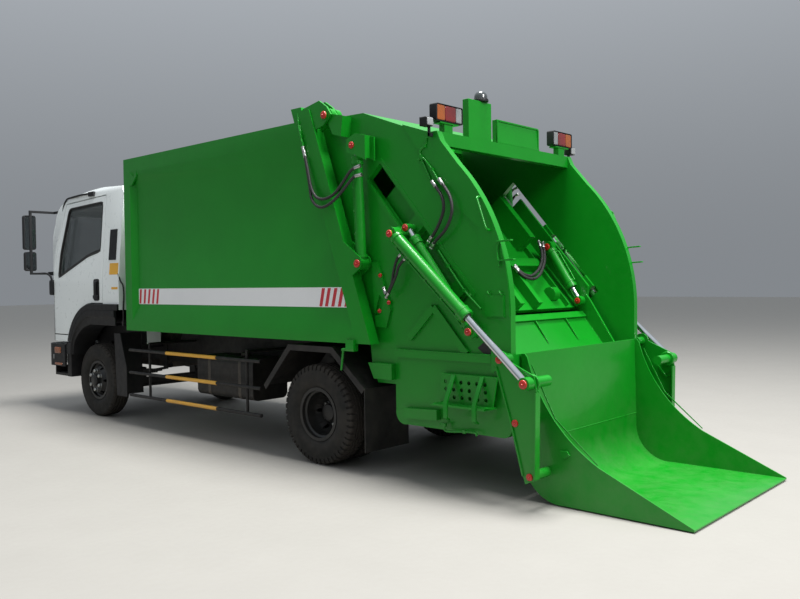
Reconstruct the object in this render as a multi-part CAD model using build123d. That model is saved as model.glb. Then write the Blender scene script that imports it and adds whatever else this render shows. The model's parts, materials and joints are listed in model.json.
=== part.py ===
from build123d import *
import os
from math import cos, hypot, radians, sin

# Rear-loading compactor truck with a tipping cab and a loading bucket that lowers to the ground.
# Frame: X to the vehicle's left, Y to the rear, Z up, millimetres, ground at Z = 0.
# A station is a distance behind the front axle; the part's origin is the middle of the overall box.

# Driving dimensions of the chassis
WHEELBASE = 4000
FRONT_OVERHANG = 1180
BUCKET_REACH = 7200
TYRE_RADIUS = 430
TYRE_WIDTH = 225
RIM_RADIUS = 222
RIM_WIDTH = 176
RIM_PLATE = 8
FRONT_TRACK_HALF = 861
DUAL_INNER_X = 680
DUAL_OUTER_X = 945
KINGPIN_X = 745
STUD_COUNT = 6
STUD_CIRCLE = 111
SPINDLE_RADIUS = 34
REAR_SPINDLE = 44
KING_EYE = 37
KING_PIN = 18
KING_HALF = 47
FRONT_DISC = 104
DUAL_MID_X = (DUAL_INNER_X + DUAL_OUTER_X) / 2
FRONT_SPRING = (590, 640)
REAR_SPRING = (610, 450)
SPRING_LEAVES = 4
RAIL_X = 425
RAIL_WIDTH = 70
RAIL_TOP = 880
RAIL_HEIGHT = 220
RAIL_WALL = 8
RAIL_FRONT = -930
RAIL_REAR = 4520
TOW_EYE = (-1040, 505)
TOW_BORE = 18
SUBFRAME_TOP = 1050
RUNNING_GAP = 0.3
SEAT = 0.3
GUARD_X = 1050
GUARD_HEIGHTS = (338, 588, 836)
GUARD_ENDS = (900, 3230)
GUARD_POSTS = (1265, 2985)
GUARD_TUBE = 17
GUARD_POST = 14
FLAP_X = (706, 1035)

# Cab
CAB_HALF_WIDTH = 1040
CAB_WALL = 42
CAB_REAR = 690
CAB_FLOOR = 900
CAB_HINGE = (-1060, 862)
CAB_EAR_X = 380
CAB_PIN = 14
CAB_EAR = 24
ARCH_CENTRE = (80, 700)
ARCH_RADIUS = 575
ARCH_LOW = 880
DOOR_GAP = 11
DOOR_LOW = 960
DOOR_WINDOW = ((-800, 1650), (-780, 1960), (-620, 2500), (225, 2530), (232, 1950), (-60, 1900))
BUMPER_TOP = 835
BUMPER_BOTTOM = 560

# Load body
BODY_HALF_WIDTH = 1100
BODY_FRONT = 957
BODY_TOP = 2920
BODY_BOTTOM = 1060
BODY_REAR_LOW = 4560
BODY_LEAN = 0.354
BODY_WALL = 70
PANEL_RECESS = 50
FLOOR_THICK = 50
POST_DEPTH = 150
POST_WIDTH = 100
PANEL_FRONT = BODY_FRONT + 190
PANEL_LOW = BODY_BOTTOM + 280
PANEL_HIGH = BODY_TOP - 330
RIM_LOW = BODY_BOTTOM + 105
RIM_HIGH = BODY_TOP - 160
RIM_FRONT = BODY_FRONT + 130

# Tailgate and its mechanisms, as station and height
TG_HALF_WIDTH = 957
TG_WALL = 57
EDGE_PLATE = 5
TG_GAP = 12
HINGE = (4204, 2933)
HINGE_X = 1044
HINGE_PIN = 30
LIFT_LOW = (4572, 1701)
LIFT_HIGH = (4530, 2646)
LIFT_X = 1045
BUCKET_PIVOT = (5930, 1006)
BUCKET_CYL_BASE = (4989, 1917)
BUCKET_CYL_EYE = (6173, 860)
BUCKET_CYL_X = 1118
ARM_X = 1062
ARM_PLATE = 14
SLIDE_DIR = (0.6531, -0.7572)
SLOT_TOP = 1180
SLOT_END = 2560
SLOT_NEAR = 5015
SLOT_FAR = 5190
LUG_NEAR = 5044
CARRIAGE_CYL_TOP = (5039, 1963)
CARRIAGE_CYL_LOW = (5641, 1187)
CARRIAGE_CYL_X = 1006
BLADE_HINGE = (5450, 1200)
BLADE_RADIUS = 735
BLADE_REST = -52
BLADE_CYL_BASE = (5170, 1852)
BLADE_CYL_EYE = (5479, 1362)
BLADE_CYL_X = 780
TROUGH_RADIUS = 752
TROUGH_PLATE = 10
STEP_FRONT = 5335
STEP_REAR = 5815
STEP_HEIGHT = 655
STEP_REACH = 150
STEP_TOP = 870
GRIP_RADIUS = 9

# Bucket
BUCKET_HALF_WIDTH = 858
BUCKET_PLATE = 10
BUCKET_CLEAR = 10

Y_FRONT_AXLE = FRONT_OVERHANG - (FRONT_OVERHANG + BUCKET_REACH) / 2


def at(x, station, z):
    """Point of the part's frame for a station behind the front axle."""
    return Vector(x, station + Y_FRONT_AXLE, z)


def slot_point(t, n):
    """Station and height of a point given along (t) and across (n) the packer's slots."""
    return (SLIDE_DIR[0] * t - SLIDE_DIR[1] * n, SLIDE_DIR[1] * t + SLIDE_DIR[0] * n)


def outline(*steps):
    """Closed face in the plane X = 0. A step is a point, or a pair: an arc's middle and its end."""
    edges = []
    here = at(0, *steps[0])
    for step in list(steps[1:]) + [steps[0]]:
        if isinstance(step[0], tuple):
            end = at(0, *step[1])
            edges.append(ThreePointArc(here, at(0, *step[0]), end))
        else:
            end = at(0, *step)
            if (end - here).length < 1e-6:
                continue
            edges.append(Line(here, end))
        here = end
    return make_face(Wire(edges))


def plate(x0, x1, *steps):
    """Solid of an outline, from x0 to x1."""
    return Pos(x0, 0, 0) * extrude(outline(*steps), amount=x1 - x0, dir=(1, 0, 0))


def block(x0, x1, s0, s1, z0, z1):
    """Box between two corners given in x, station and height."""
    corner = at(x0, s0, z0)
    return Pos(corner.X, corner.Y, corner.Z) * Box(x1 - x0, s1 - s0, z1 - z0, align=(Align.MIN,) * 3)


def pin(point, radius, x0, x1):
    """Cylinder along X through a point given as station and height."""
    centre = at((x0 + x1) / 2, *point)
    return Pos(centre.X, centre.Y, centre.Z) * Rot(0, 90, 0) * Cylinder(radius, x1 - x0)


def bar(x, start, end, radius, from_start=0, to_end=0):
    """Round bar between two stations and heights, trimmed at its ends."""
    first, last = at(x, *start), at(x, *end)
    axis = (last - first).normalized()
    length = (last - first).length - from_start - to_end
    plane = Plane(origin=first + axis * from_start, z_dir=axis)
    return plane * Cylinder(radius, length, align=(Align.CENTER, Align.CENTER, Align.MIN))


def side_x(sign, near, far):
    """The two x values, low one first, of a range given for the left side, on either side."""
    return sorted((sign * near, sign * far))


def both(part):
    """A left-hand part and its mirror image on the right."""
    return [part, mirror(part, about=Plane.YZ)]


def save(name, *parts):
    """Write one node; its parts don't touch each other."""
    solids = [solid for part in parts for solid in part.solids()]
    export_step(Compound(children=solids), f"parts/{name}.step")


def turned(x_centre, station, z, *profile):
    """Body of revolution about an axis along X: profile points are (x offset, radius)."""
    points = [(x, r) for x, r in profile]
    face = make_face(Polyline(*[(x, 0, r) for x, r in points], close=True))
    centre = at(x_centre, station, z)
    return Pos(centre.X, centre.Y, centre.Z) * revolve(face, axis=Axis.X)


def tyre(x_centre, station):
    """Tyre with rounded shoulders, seated on the rim's beads."""
    half = TYRE_WIDTH / 2
    bead = RIM_RADIUS - 10
    centre = at(x_centre, station, TYRE_RADIUS)
    tread = half - 26
    heel = RIM_WIDTH / 2 - RIM_PLATE - SEAT
    lip = RIM_RADIUS + RIM_PLATE + 1
    outer = [
        Line((-heel, 0, bead), (-heel, 0, lip)),
        ThreePointArc((-heel, 0, lip), (-half, 0, bead + 95), (-half + 8, 0, TYRE_RADIUS - 55)),
        ThreePointArc((-half + 8, 0, TYRE_RADIUS - 55), (-half + 12, 0, TYRE_RADIUS - 22),
                      (-tread, 0, TYRE_RADIUS - 6)),
        ThreePointArc((-tread, 0, TYRE_RADIUS - 6), (0, 0, TYRE_RADIUS), (tread, 0, TYRE_RADIUS - 6)),
        ThreePointArc((tread, 0, TYRE_RADIUS - 6), (half - 12, 0, TYRE_RADIUS - 22),
                      (half - 8, 0, TYRE_RADIUS - 55)),
        ThreePointArc((half - 8, 0, TYRE_RADIUS - 55), (half, 0, bead + 95), (heel, 0, lip)),
        Line((heel, 0, lip), (heel, 0, bead)),
        Line((heel, 0, bead), (-heel, 0, bead)),
    ]
    face = make_face(Wire(outer))
    return Pos(centre.X, centre.Y, centre.Z) * revolve(face, axis=Axis.X)


def rim(x_centre, station, side, disc_offset):
    """Steel rim: well, flanges and a dished disc whose face stands disc_offset outboard of centre."""
    half = RIM_WIDTH / 2
    seat = RIM_RADIUS - 10 - SEAT
    well = [(-half, RIM_RADIUS + 8), (-half, seat - 10), (-half + 34, seat - 10), (-half + 44, seat - 26),
            (half - 44, seat - 26), (half - 34, seat - 10), (half, seat - 10), (half, RIM_RADIUS + 8),
            (half - 8, RIM_RADIUS + 8), (half - 8, seat), (half - 30, seat), (half - 40, seat - 17),
            (-half + 40, seat - 17), (-half + 30, seat), (-half + 8, seat), (-half + 8, RIM_RADIUS + 8)]
    shell = turned(x_centre, station, TYRE_RADIUS, *[(side * x, r) for x, r in well])
    face = disc_offset
    back = face - 12 if face > 0 else face + 12
    root = half - 50 if face > 0 else -half + 50
    inner = root - 12 if face > 0 else root + 12
    disc = [(face, 72), (face, 140), (root, seat - 20), (inner, seat - 20), (back, 132), (back, 72)]
    dish = turned(x_centre, station, TYRE_RADIUS, *[(side * x, r) for x, r in disc])
    holes = []
    for count in range(STUD_COUNT):
        angle = radians(360 / STUD_COUNT * (count + 0.5))
        point = (station + 158 * sin(angle), TYRE_RADIUS + 158 * cos(angle))
        reach = side * (disc_offset + root) / 2
        holes.append(pin(point, 17, x_centre + reach - 60, x_centre + reach + 60))
    return shell + (dish - holes)


def studs(x_face, station, side, length):
    """Ring of wheel nuts standing on a disc face."""
    ring = []
    for count in range(STUD_COUNT):
        angle = radians(360 / STUD_COUNT * count)
        point = (station + STUD_CIRCLE * sin(angle), TYRE_RADIUS + STUD_CIRCLE * cos(angle))
        ring.append(pin(point, 15, *sorted((x_face - side * 2, x_face + side * length))))
    return ring


def front_wheel(side):
    """Front rim with its drum and hub, bored for the spindle."""
    x_face = side * (FRONT_TRACK_HALF + FRONT_DISC)
    hub_in = side * (KINGPIN_X + KING_EYE + 20)
    hub = turned(0, 0, TYRE_RADIUS, (hub_in, SPINDLE_RADIUS + RUNNING_GAP), (hub_in, 150),
                 (side * (KINGPIN_X + 130), 150), (side * (KINGPIN_X + 140), 82),
                 (x_face - side * 14, 82), (x_face - side * 14, 73), (x_face + side * 34, 68),
                 (x_face + side * 40, 56), (x_face + side * 40, SPINDLE_RADIUS + RUNNING_GAP))
    wheel = rim(side * FRONT_TRACK_HALF, 0, side, FRONT_DISC) + hub
    return wheel + studs(x_face, 0, side, 20)


def rear_wheels(side):
    """Twin rear rims whose discs meet, with the drum and hub, bored for the axle's spindle."""
    reach = DUAL_MID_X - DUAL_INNER_X
    inner = rim(side * DUAL_INNER_X, WHEELBASE, side, reach)
    outer = rim(side * DUAL_OUTER_X, WHEELBASE, side, -reach)
    x_mid = side * DUAL_MID_X
    bore = REAR_SPINDLE + RUNNING_GAP
    hub = turned(0, WHEELBASE, TYRE_RADIUS, (side * 560, bore), (side * 560, 160), (side * 700, 160),
                 (side * 712, 78), (x_mid, 78), (x_mid + side * 60, 74), (x_mid + side * 96, 68),
                 (x_mid + side * 104, 52), (x_mid + side * 104, bore))
    wheel = inner + outer + hub
    return wheel + studs(x_mid + side * 12, WHEELBASE, side, 24)


def wheels_and_axles():
    """Tyres, rims, knuckles and both axles with their spring packs."""
    for name, side in (("left", 1), ("right", -1)):
        save(f"tyre_front_{name}", tyre(side * FRONT_TRACK_HALF, 0))
        save(f"rim_front_{name}", front_wheel(side))
        duals = [tyre(side * x, WHEELBASE) for x in (DUAL_INNER_X, DUAL_OUTER_X)]
        save(f"tyres_rear_{name}", *duals)
        save(f"rims_rear_{name}", rear_wheels(side))
        save(f"knuckle_{name}", knuckle(side))
    save("front_axle", front_axle())
    save("rear_axle", rear_axle())


def knuckle(side):
    """Steering knuckle: two kingpin ears on a web with the spindle, and its steering arm."""
    x_king = side * KINGPIN_X
    web_in, web_out = x_king + side * (KING_EYE + 3), x_king + side * (KING_EYE + 15)
    part = pin((0, TYRE_RADIUS), SPINDLE_RADIUS, *sorted((web_in, x_king + side * 248)))
    part += pin((0, TYRE_RADIUS), 92, *sorted((web_in, web_out)))
    for sign in (-1, 1):
        z = sorted((TYRE_RADIUS + sign * (KING_HALF + 1), TYRE_RADIUS + sign * (KING_HALF + 44)))
        part += Pos(x_king, Y_FRONT_AXLE, sum(z) / 2) * Cylinder(KING_EYE - 2, z[1] - z[0])
        part += block(*sorted((x_king, web_out)), -30, 30, *z)
    arm = sorted((x_king + side * 30, x_king - side * 36))
    part += block(*arm, 20, 170, TYRE_RADIUS - KING_HALF - 42, TYRE_RADIUS - KING_HALF - 20)
    return part - Pos(x_king, Y_FRONT_AXLE, TYRE_RADIUS) * Cylinder(KING_PIN + RUNNING_GAP, 4 * KING_HALF)


def spring_pack(station, spring, camber, x, axle_z):
    """Half-elliptic spring pack: leaves that shorten downwards, arched about the axle seat."""
    eye_z, half_length = spring
    pack = None
    for leaf in range(SPRING_LEAVES):
        half = half_length * (1 - 0.16 * leaf)
        drop = camber * (1 - 0.16 * leaf) ** 2
        seat = eye_z - camber - leaf * 13
        upper = [(station - half, seat + drop), ((station, seat), (station + half, seat + drop))]
        lower = [(s, z - 13) for s, z in ((station + half, seat + drop), (station, seat),
                                          (station - half, seat + drop))]
        leaf_solid = plate(x - 35, x + 35, *upper, lower[0], (lower[1], lower[2]))
        pack = leaf_solid if pack is None else pack + leaf_solid
    for end in (-1, 1):
        point = (station + end * (half_length + 8), eye_z + 2)
        pack += pin(point, 24, x - 37, x + 37)
    clamp = block(x - 44, x + 44, station - 60, station + 60, axle_z, eye_z - camber + 16)
    return pack + clamp


def front_axle():
    """Forged I-beam, dropped between the spring seats, with kingpin eyes and spring packs."""
    beam_z = TYRE_RADIUS - 80
    beam = block(-520, 520, -42, 42, beam_z - 55, beam_z - 37)
    beam += block(-520, 520, -42, 42, beam_z + 37, beam_z + 55)
    beam += block(-520, 520, -12, 12, beam_z - 50, beam_z + 50)
    for side in (-1, 1):
        rise = Polyline((side * 500, beam_z - 55), (side * 500, beam_z + 55),
                        (side * (KINGPIN_X - 34), TYRE_RADIUS + 45),
                        (side * (KINGPIN_X - 34), TYRE_RADIUS - 45), close=True)
        arm = extrude(Plane.XZ * make_face(rise), amount=30, both=True)
        beam += Pos(0, Y_FRONT_AXLE, 0) * arm
        king = Pos(side * KINGPIN_X, Y_FRONT_AXLE, TYRE_RADIUS)
        beam += king * Cylinder(KING_EYE, 2 * KING_HALF) + king * Cylinder(KING_PIN, 4 * KING_HALF)
        beam += spring_pack(0, FRONT_SPRING, 70, side * (RAIL_X - 35), beam_z + 40)
    return beam


def rear_axle():
    """Banjo housing with its spindles, differential, spring packs and the propeller shaft."""
    axle_z = TYRE_RADIUS
    housing = pin((WHEELBASE, axle_z), 72, -540, 540)
    for side in (-1, 1):
        housing += pin((WHEELBASE, axle_z), REAR_SPINDLE, *side_x(side, 500, DUAL_MID_X + 100))
        housing += pin((WHEELBASE, axle_z), 110, *side_x(side, 540, 553))
        housing += spring_pack(WHEELBASE, REAR_SPRING, 40, side * (RAIL_X - 35), axle_z + 40)
    housing += pin((WHEELBASE, axle_z), 190, -90, 90)
    housing += bar(0, (WHEELBASE - 330, axle_z + 20), (WHEELBASE, axle_z), 95)
    housing += bar(0, (950, RAIL_TOP - 210), (WHEELBASE - 320, axle_z + 20), 44)
    return housing


def chassis():
    """Ladder frame with the sub-frame on it, engine, tanks, guards, fenders and bumper."""
    inner = RAIL_X - RAIL_WIDTH
    low = RAIL_TOP - RAIL_HEIGHT
    channel = block(inner, RAIL_X, RAIL_FRONT, RAIL_REAR, low, RAIL_TOP)
    channel -= block(inner - 1, RAIL_X - RAIL_WALL, RAIL_FRONT - 1, RAIL_REAR + 1, low + RAIL_WALL,
                     RAIL_TOP - RAIL_WALL)
    frame = channel + mirror(channel, about=Plane.YZ)
    for station in (-800, 760, 1500, 2300, 3150, 3700, 4300, RAIL_REAR - 80):
        frame += block(-RAIL_X + 4, RAIL_X - 4, station, station + 70, low + 70, RAIL_TOP - 20)
    rail = block(inner, RAIL_X, BODY_FRONT + 20, RAIL_REAR, RAIL_TOP, SUBFRAME_TOP - SEAT)
    frame += rail + mirror(rail, about=Plane.YZ)
    for station in (1100, 1900, 2700, 3500, 4300):
        frame += block(-inner - 4, inner + 4, station, station + 60, SUBFRAME_TOP - 90, SUBFRAME_TOP - SEAT)
    for middle, (eye_z, half_length) in ((0, FRONT_SPRING), (WHEELBASE, REAR_SPRING)):
        for end, sign in ((-1, -1), (-1, 1), (1, -1), (1, 1)):
            station = middle + end * (half_length + 8)
            frame += block(*side_x(sign, RAIL_X + 2, RAIL_X + 16), station - 40, station + 40,
                           eye_z - 30, RAIL_TOP - 30)
            frame += block(*side_x(sign, RAIL_X - 10, RAIL_X + 4), station - 40, station + 40,
                           low, RAIL_TOP - 30)
    for sign in (-1, 1):
        base_top = RAIL_TOP - 82
        frame += block(*side_x(sign, 330, RAIL_X), CAB_HINGE[0] - 15, RAIL_FRONT + 40,
                       RAIL_TOP - 120, base_top)
        ear_x = side_x(sign, CAB_EAR_X - 22, CAB_EAR_X + 22)
        hs, hz = CAB_HINGE
        frame += pin(CAB_HINGE, CAB_EAR, *ear_x)
        frame += plate(*ear_x, (hs - CAB_EAR, hz), (hs + 18, hz + 16), (hs + 80, base_top - 2),
                       (hs + 15, base_top - 2))
        frame -= pin(CAB_HINGE, CAB_PIN + RUNNING_GAP, *ear_x)
    for sign in (-1, 1):
        x = side_x(sign, RAIL_X - 40, RAIL_X - 14)
        frame += plate(*x, (RAIL_FRONT + 20, 700), (RAIL_FRONT + 20, 560), (TOW_EYE[0], TOW_EYE[1] - 42),
                       ((TOW_EYE[0] - 42, TOW_EYE[1]), (TOW_EYE[0] - 30, TOW_EYE[1] + 30)),
                       (RAIL_FRONT - 30, 700))
        frame += block(*side_x(sign, RAIL_X - 70, RAIL_X - 8), RAIL_FRONT, RAIL_FRONT + 30, 664, 720)
        frame -= pin(TOW_EYE, TOW_BORE, x[0] - 1, x[1] + 1)
    save("chassis_frame", frame)
    engine = block(-300, 300, -520, 560, 560, 1080)
    for station in (-300, 300):
        engine += block(-400, 400, station, station + 80, low + RAIL_WALL + SEAT, low + RAIL_WALL + 24)
    save("engine_block", engine)
    tank = block(500, 920, 2040, 2960, 430, 830)
    tank = fillet(tank.edges().filter_by(Axis.Y), 60)
    bracket = [block(RAIL_X + 0.3, 505, s, s + 60, 640, 800) for s in (2200, 2740)]
    battery = block(-900, -480, 1500, 2100, 470, 800)
    battery_arm = [block(-485, -RAIL_X - 0.3, s, s + 60, 640, 780) for s in (1600, 1900)]
    air_tank = Pos(*at(-640, 2700, 600)) * Rot(90, 0, 0) * Cylinder(130, 620)
    air_arm = [block(-560, -RAIL_X - 0.3, s, s + 50, 640, 720) for s in (2500, 2840)]
    save("side_tanks", tank + bracket, battery + battery_arm, air_tank + air_arm)
    save("side_guards", *both(side_guard()))
    save("rear_fenders", *both(rear_fender()))
    save("front_bumper", front_bumper())
    save("cab_steps", *both(cab_step()), *both(front_flap()))


def side_guard():
    """Three tubes on two hanging posts, with arms back to the sub-frame."""
    x_tube = GUARD_X - GUARD_TUBE
    x_post = x_tube - GUARD_TUBE - GUARD_POST + 3
    arm_z = RAIL_TOP + 36
    guard = None
    for z in GUARD_HEIGHTS:
        rail = bar(x_tube, (GUARD_ENDS[0], z), (GUARD_ENDS[1], z), GUARD_TUBE)
        guard = rail if guard is None else guard + rail
    for station in GUARD_POSTS:
        guard += bar(x_post, (station, GUARD_HEIGHTS[0] - 22), (station, arm_z + GUARD_POST), GUARD_POST)
        guard += pin((station, arm_z), GUARD_POST, RAIL_X + SEAT, x_post)
    return guard


def rear_fender():
    """Bent-sheet fender over the twin wheels with its mud flap and stays."""
    points = [(3350, 640), (3700, 1020), (4260, 1020), (4630, 700)]
    inner = [(4622, 695), (4256, 1012), (3703, 1012), (3356, 635)]
    sheet = plate(560, 1098, *points, *inner)
    side_outer = [(3350, 640), (3700, 1020), (4260, 1020), (4630, 700), (4600, 660), (4240, 970),
                  (3724, 970), (3380, 604)]
    skirt = plate(1088, 1098, *side_outer)
    flap = block(580, 1095, 4624, 4634, 190, 702)
    fender = sheet + skirt + flap
    for station in (3760, 4180):
        fender += block(RAIL_X + SEAT, 700, station, station + 40, 960, 1014)
    return fender


def plan_shell(half_width, front, rear, corner, z0, z1):
    """Upright prism with a rounded nose: a plan outline extruded in height."""
    y_front = front + Y_FRONT_AXLE
    y_rear = rear + Y_FRONT_AXLE
    bow = 70
    nose = [
        Line((-half_width, y_rear), (-half_width, y_front + corner)),
        ThreePointArc((-half_width, y_front + corner), (-half_width + corner * 0.26, y_front + corner * 0.3),
                      (-half_width + corner, y_front + bow * 0.4)),
        ThreePointArc((-half_width + corner, y_front + bow * 0.4), (0, y_front),
                      (half_width - corner, y_front + bow * 0.4)),
        ThreePointArc((half_width - corner, y_front + bow * 0.4), (half_width - corner * 0.26,
                      y_front + corner * 0.3), (half_width, y_front + corner)),
        Line((half_width, y_front + corner), (half_width, y_rear)),
        Line((half_width, y_rear), (-half_width, y_rear)),
    ]
    return Pos(0, 0, z0) * extrude(make_face(Wire(nose)), amount=z1 - z0, dir=(0, 0, 1))


def front_bumper():
    """Wrap-around bumper: a thick skin, open at the back, with slots for the fog lamps."""
    outer = plan_shell(CAB_HALF_WIDTH + 20, -FRONT_OVERHANG, -620, 260, BUMPER_BOTTOM, BUMPER_TOP)
    inner = plan_shell(CAB_HALF_WIDTH - 8, -FRONT_OVERHANG + 26, -600, 250, BUMPER_BOTTOM - 1, BUMPER_TOP + 1)
    skin = outer - inner
    skin -= block(-330, 330, -FRONT_OVERHANG - 5, -FRONT_OVERHANG + 60, 690, 760)
    for sign in (-1, 1):
        skin -= block(*side_x(sign, 470, 760), -FRONT_OVERHANG - 5, -FRONT_OVERHANG + 90, 640, 730)
        lamp = block(*side_x(sign, 480, 750), -FRONT_OVERHANG + 40, -FRONT_OVERHANG + 110, 630, 740)
        skin += lamp
        skin += block(*side_x(sign, RAIL_X - 60, RAIL_X - 4), -FRONT_OVERHANG + 20,
                      RAIL_FRONT - SEAT, 722, 756)
    return skin


def cab_step():
    """Entry step box behind the bumper's end."""
    step = block(760, 1035, -600 + SEAT, -500, 440, 850)
    step += block(760, 1020, -960, -599, 440, 550)
    step -= block(800, 1021, -940, -620, 470, 552)
    step += block(RAIL_X + SEAT, 780, -590, -530, 700, 760)
    return step


def front_flap():
    """Mud flap and side skirt behind the front wheel, on an arm from the frame."""
    x0, x1 = FLAP_X
    flap = plate(x0, x1, (560, 1010), (600, 306), (608, 306), (568, 1010))
    flap += plate(x1 - 8, x1, (560, 1010), (690, 1010), (821, 640), (821, 306), (600, 306))
    return flap + block(RAIL_X + SEAT, x0 + 10, 568, 598, 820, 860)


def cab_profile(inset):
    """Side outline of the cab, drawn in by an inset."""
    front = -1130 + inset
    low = CAB_FLOOR - 30 + inset
    return outline((front, low), (front - 4, 1440), ((front + 30, 1830), (front + 160, 2343)),
                   ((front + 215, 2500), (front + 330, 2575 - inset)),
                   ((-268, 2676 - inset), (200, 2706 - inset)), (CAB_REAR - inset - 60, 2686 - inset),
                   (CAB_REAR - inset, 2600 - inset), (CAB_REAR - inset, low))


def cab_solid(inset):
    """Cab block: side outline, plan outline and tapered front view together."""
    side = Pos(-1200, 0, 0) * extrude(cab_profile(inset), amount=2400, dir=(1, 0, 0))
    half = CAB_HALF_WIDTH - inset
    plan = plan_shell(half, -1140 + inset, CAB_REAR, 300, 700, 2900)
    taper = Polyline((-half, 700), (-half, 1600), (-half + 90, 2640), (-half + 200, 2900), (half - 200, 2900),
                     (half - 90, 2640), (half, 1600), (half, 700), close=True)
    front = extrude(Plane.XZ * make_face(taper), amount=6000, both=True)
    return side & plan & front


def arch_steps(radius, low=ARCH_LOW):
    """Outline steps of the front wheel arch at a radius: up its round front, then level to the rear."""
    s0, z0 = ARCH_CENTRE
    reach = (radius ** 2 - (low - z0) ** 2) ** 0.5
    middle = (s0 - radius * cos(radians(50)), z0 + radius * sin(radians(50)))
    return (s0 - reach, low), (middle, (s0, z0 + radius))


def door_outline():
    """Outline of the door leaf; its lower edge follows the wheel arch."""
    start, arc = arch_steps(ARCH_RADIUS + 77, DOOR_LOW)
    lower = ((ARCH_CENTRE[0], arc[1][1]), (arc[0], start))
    return outline((-905, DOOR_LOW), (-905, 1760), (-860, 2120), (-690, 2560), (285, 2600), (312, 1400),
                   (312, arc[1][1]), *lower)


def arch_face(radius):
    """Face of the opening of the wheel arch at a radius."""
    start, arc = arch_steps(radius)
    return outline((start[0], 700), start, arc, (CAB_REAR + 20, arc[1][1]), (CAB_REAR + 20, 700))


def side_cut(face, x0, x1):
    """Solid of a side-view face between two x values."""
    return Pos(x0, 0, 0) * extrude(face, amount=x1 - x0, dir=(1, 0, 0))


def cab():
    """Hollow cab with its doors, glass, grille, lamps, flares, mirrors and interior."""
    outer = cab_solid(0)
    room = cab_solid(CAB_WALL) - block(-1200, 1200, -1300, 800, 700, CAB_FLOOR + 12)
    walls = outer - room
    arch = side_cut(arch_face(ARCH_RADIUS), -1200, 1200) - block(-700, 700, -800, 900, 600, 1500)
    floor_cut = block(-520, 520, RAIL_FRONT - 20, CAB_REAR + 10, 700, 1120)
    tunnel = block(-560, 560, RAIL_FRONT - 60, CAB_REAR - 2, CAB_FLOOR - 20, 1160)
    wheel_box = side_cut(arch_face(ARCH_RADIUS + 30), -1200, 1200) - block(-660, 660, -800, 900, 600, 1500)
    walls = walls + ((tunnel + wheel_box) & outer) - arch - floor_cut
    door_face = door_outline()
    window_face = outline(*DOOR_WINDOW)
    door_depth = (CAB_HALF_WIDTH - 140, CAB_HALF_WIDTH + 10)
    windscreen_hole = block(-830, 830, -1300, -600, 1620, 2440)
    rear_hole = block(-520, 520, CAB_REAR - 100, CAB_REAR + 50, 1800, 2380)
    shell = walls - windscreen_hole - rear_hole
    for sign in (-1, 1):
        for gap in (-44, 29):
            cheek = side_x(sign, CAB_EAR_X + gap, CAB_EAR_X + gap + 15)
            shell += pin(CAB_HINGE, CAB_EAR, *cheek)
            shell += block(*cheek, CAB_HINGE[0] - CAB_EAR, CAB_HINGE[0] + CAB_EAR, CAB_HINGE[1],
                           CAB_FLOOR - 20)
        pocket = side_x(sign, CAB_EAR_X - 29, CAB_EAR_X + 29)
        shell -= block(*pocket, CAB_HINGE[0] - CAB_EAR - 9, CAB_HINGE[0] + CAB_EAR + 9, 800,
                       CAB_HINGE[1] + CAB_EAR + 6)
        shell += pin(CAB_HINGE, CAB_PIN, *side_x(sign, CAB_EAR_X - 46, CAB_EAR_X + 46))
    for sign in (-1, 1):
        span = side_x(sign, door_depth[0], door_depth[1])
        shell -= side_cut(offset(door_face, amount=DOOR_GAP), *span)
    save("cab_shell", shell)
    for name, sign in (("left", 1), ("right", -1)):
        span = side_x(sign, door_depth[0], door_depth[1])
        leaf = side_cut(door_face, *span) & walls
        leaf -= side_cut(window_face, *span)
        handle = block(*side_x(sign, CAB_HALF_WIDTH - 6, CAB_HALF_WIDTH + 24), 130, 230, 1400, 1440)
        save(f"door_{name}", leaf + handle)
        pane = side_cut(offset(window_face, amount=-SEAT), *span) & walls
        thin = cab_solid(14) - cab_solid(22)
        save(f"door_glass_{name}", pane & thin)
    skin = cab_solid(12) - cab_solid(20)
    screen = block(-830 + SEAT, 830 - SEAT, -1300, -600, 1620 + SEAT, 2440 - SEAT) & skin
    back = block(-520 + SEAT, 520 - SEAT, CAB_REAR - 30, CAB_REAR - 22, 1800 + SEAT, 2380 - SEAT)
    save("cab_glass", screen, back)
    grille = block(-560, 560, -1300, -1100, 1180, 1420) & (cab_solid(-12) - cab_solid(-SEAT))
    for z in (1225, 1285, 1345):
        grille -= block(-520, 520, -1300, -1144, z, z + 30)
    vent = block(900, 1100, 450, 604, 1843, 2192) & (cab_solid(-8) - cab_solid(-SEAT))
    for count in range(7):
        vent -= block(900, 1100, 468, 586, 1868 + 46 * count, 1890 + 46 * count)
    save("grille", grille, *both(vent))
    lamps = block(590, 960, -1300, -900, 960, 1320) & (cab_solid(-14) - cab_solid(-SEAT))
    save("headlamps", *both(lamps))
    flare_out = arch_steps(ARCH_RADIUS + 65)
    flare_in = arch_steps(ARCH_RADIUS - 5)
    rim_line = ((flare_in[1][0], flare_in[0]),)
    flare = side_cut(outline(*flare_out, (CAB_REAR - 5, flare_out[1][1][1]),
                             (CAB_REAR - 5, flare_in[1][1][1]),
                             flare_in[1][1], *rim_line), CAB_HALF_WIDTH + SEAT, CAB_HALF_WIDTH + 24)
    save("arch_flares", *both(flare))
    save("cab_seats", *seats())
    save("cab_interior", dashboard())
    save("mirrors", *both(mirror_arm() - cab_solid(-SEAT)))


def seats():
    """Driver's seat and the passengers' bench, each a cushion on the plinth and a backrest on it."""
    low, seam = 1160 + SEAT, 1400
    pieces = []
    for x0, x1 in ((170, 650), (-650, -20)):
        cushion = block(x0, x1, -150, 330, low, seam)
        pieces.append(fillet(cushion.edges().filter_by(Axis.X), 30))
        back = block(x0, x1, 230, 370, seam + SEAT, 1980)
        pieces.append(fillet(back.edges().filter_by(Axis.X), 30))
    return pieces


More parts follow.
